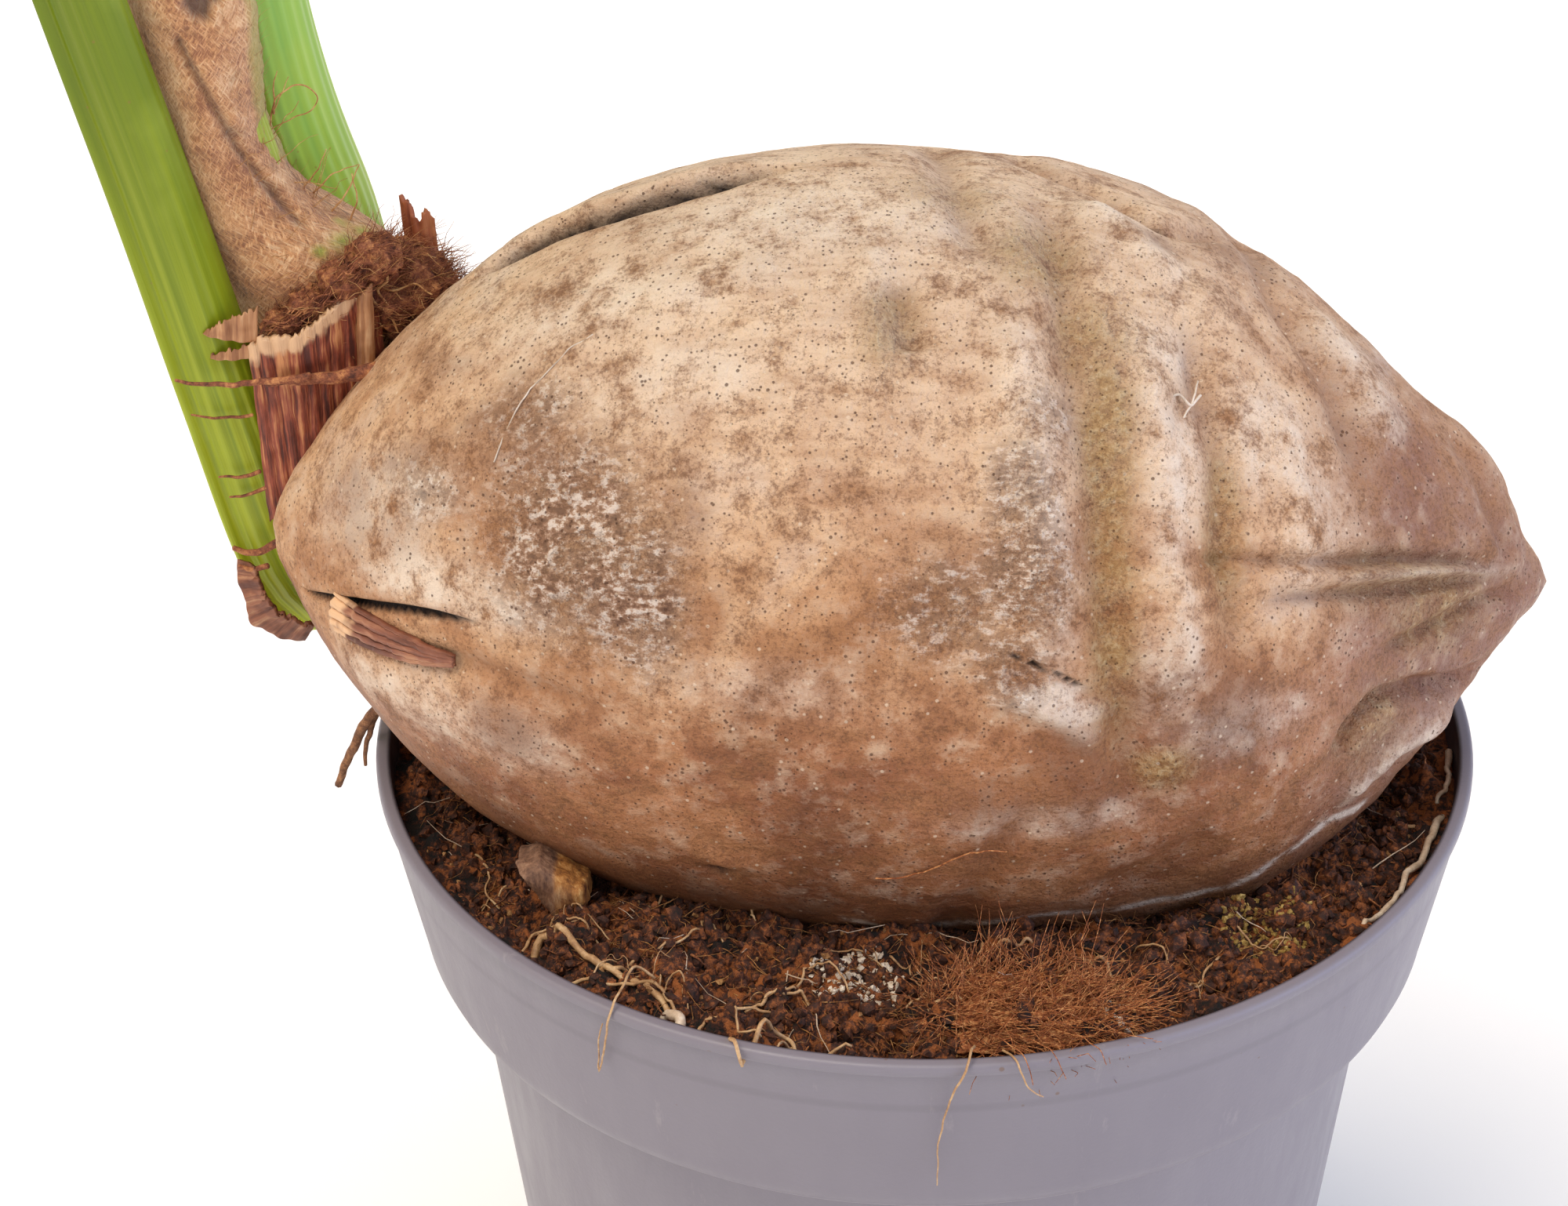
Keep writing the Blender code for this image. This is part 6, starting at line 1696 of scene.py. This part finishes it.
    # fibre and rootlets that lie on the husk
    shape = Shape()
    for seed, (stations, thick) in enumerate([
            ([(0.279, 118.3), (0.262, 120), (0.239, 124.6), (0.220, 130), (0.207, 137.4)], 0.28),
            ([(0.688, 127), (0.699, 125.2), (0.708, 126.4), (0.716, 124.4)], 0.5),
            ([(0.703, 128.6), (0.710, 126), (0.714, 122.2)], 0.35)]):
        line = Route(on_husk(stations, 0.0009)).at(np.linspace(0, 1, 60))
        shape.tube(jagged(line, 0.0005, 90.0 + seed), thick * MM * 0.5, sides=6)
    settle(shape.make("husk_rootlets", pale), "root_tan")
    line = on_husk([(0.484, 201.5), (0.503, 200.8), (0.521, 199), (0.541, 196.3), (0.562, 194.6),
        (0.580, 194.9)], 0.0008) / MM
    strands("husk_fibre", [(line, 0.34, 0.24)], hair, "root_tan")


# ---------------------------------------------------------------- stage

EYE = (0.0, -0.57076, 0.57702)
SIGHT = (-0.03864, 0.84447, -0.53420)
RIGHT = (0.99925, 0.03471, -0.01741)
UP = (-0.00384, 0.53447, 0.84518)
STAGE_HALF = 60.0
STAGE_DROP = 0.0002


def soft_light(name, place, strength, spread, colour):
    """Even light from one side of the palm, soft enough to leave no hard shadow."""
    light = bpy.data.lights.new(name, "SUN")
    light.energy = strength
    light.angle = spread
    light.color = linear(colour)[:3]
    holder = bpy.data.objects.new(name, light)
    holder.location = place
    holder.rotation_euler = (-Vector(place)).to_track_quat("-Z", "Y").to_euler()
    bpy.context.scene.collection.objects.link(holder)


class PALM_OT_stage(bpy.types.Operator):
    """Lay a plain floor, light it softly and set the camera"""
    bl_idname = "palm.stage"
    bl_label = "Floor, lights and camera"

    def execute(self, context):
        look = context.scene.palm_stage
        scene = context.scene
        half = STAGE_HALF
        corners = [(-half, -half, -STAGE_DROP), (half, -half, -STAGE_DROP),
                   (half, half, -STAGE_DROP), (-half, half, -STAGE_DROP)]
        floor = make_object("studio_floor", corners, [(0, 1, 2, 3)], studio_paper())
        world = scene.world or bpy.data.worlds.new("Studio")
        scene.world = world
        world.use_nodes = True
        sky = next(node for node in world.node_tree.nodes if node.bl_idname == "ShaderNodeBackground")
        sky.inputs["Color"].default_value = linear("#fbfbfd")
        sky.inputs["Strength"].default_value = look.ambient
        soft_light("key_light", (-0.50, -0.30, 1.50), look.key, 0.70, "#fff3e4")
        soft_light("warm_fill", (-1.30, -0.60, 0.70), look.fill * 0.2, 1.2, "#ffd4ac")
        soft_light("cool_fill", (1.40, -0.30, 0.26), look.fill, 1.2, "#ccd8ff")
        camera = bpy.data.cameras.new("studio_camera")
        camera.lens = look.lens
        camera.sensor_width = 36.0
        camera.sensor_fit = "HORIZONTAL"
        camera.clip_start = 0.01
        holder = bpy.data.objects.new("studio_camera", camera)
        turned = Matrix((RIGHT, UP, tuple(-value for value in SIGHT))).transposed()
        holder.matrix_world = Matrix.Translation(EYE) @ turned.to_4x4()
        scene.collection.objects.link(holder)
        scene.camera = holder
        scene.view_settings.view_transform = "Standard"
        return {"FINISHED"}


class PALM_OT_husk(bpy.types.Operator):
    """Build the weathered coconut husk"""
    bl_idname = "palm.husk"
    bl_label = "Coconut husk"

    def execute(self, context):
        look = context.scene.palm_husk
        make_coconut(look, weathered_husk_skin(look))
        return {"FINISHED"}


class PALM_OT_pot(bpy.types.Operator):
    """Turn the pot and drill its drain holes"""
    bl_idname = "palm.pot"
    bl_label = "Nursery pot"

    def execute(self, context):
        look = context.scene.palm_pot
        make_pot(look, moulded_polypropylene(look))
        return {"FINISHED"}


class PALM_OT_mix(bpy.types.Operator):
    """Fill the pot with mix and strew crumbs, roots and fibres over it"""
    bl_idname = "palm.mix"
    bl_label = "Potting mix and roots"

    def execute(self, context):
        make_mix_and_litter(context.scene.palm_mix)
        return {"FINISHED"}


class PALM_OT_shoot(bpy.types.Operator):
    """Grow the stem and the leaves"""
    bl_idname = "palm.shoot"
    bl_label = "Stem and leaves"

    def execute(self, context):
        make_shoot(context.scene.palm_shoot)
        return {"FINISHED"}


class PALM_OT_fibres(bpy.types.Operator):
    """Wrap the shoot's foot in its fibre cloth, scales and fringe"""
    bl_idname = "palm.fibres"
    bl_label = "Fibre cloth, scales and fringe"

    def execute(self, context):
        make_wrappings(context.scene.palm_shoot)
        return {"FINISHED"}


class PALM_OT_splinters(bpy.types.Operator):
    """Add the husk's wedge, the chip, the root stub and the coir tuft"""
    bl_idname = "palm.splinters"
    bl_label = "Husk splinters and tuft"

    def execute(self, context):
        make_splinters()
        return {"FINISHED"}


STEPS = (PALM_OT_husk, PALM_OT_pot, PALM_OT_mix, PALM_OT_shoot, PALM_OT_fibres, PALM_OT_splinters,
         PALM_OT_stage)
LOOKS = (("palm_husk", PalmHuskLook), ("palm_pot", PalmPotLook), ("palm_mix", PalmMixLook),
         ("palm_shoot", PalmShootLook), ("palm_stage", PalmStageLook))


class VIEW3D_PT_coconut_palm(bpy.types.Panel):
    """Buttons that build the palm, and the sizes and colours that they use"""
    bl_label = "Coconut palm"
    bl_space_type = "VIEW_3D"
    bl_region_type = "UI"
    bl_category = "Coconut palm"

    def draw(self, context):
        for step in STEPS:
            self.layout.operator(step.bl_idname)
        for name, group in LOOKS:
            box = self.layout.box()
            for key in group.__annotations__:
                box.prop(getattr(context.scene, name), key)


def register():
    for name, group in LOOKS:
        bpy.utils.register_class(group)
        setattr(bpy.types.Scene, name, PointerProperty(type=group))
    for step in STEPS:
        bpy.utils.register_class(step)
    bpy.utils.register_class(VIEW3D_PT_coconut_palm)


def unregister():
    bpy.utils.unregister_class(VIEW3D_PT_coconut_palm)
    for step in reversed(STEPS):
        bpy.utils.unregister_class(step)
    for name, group in reversed(LOOKS):
        delattr(bpy.types.Scene, name)
        bpy.utils.unregister_class(group)


def main():
    register()
    bpy.ops.palm.husk()
    bpy.ops.palm.pot()
    bpy.ops.palm.mix()
    bpy.ops.palm.shoot()
    bpy.ops.palm.fibres()
    bpy.ops.palm.splinters()
    bpy.ops.palm.stage()


if __name__ == "__main__":
    main()
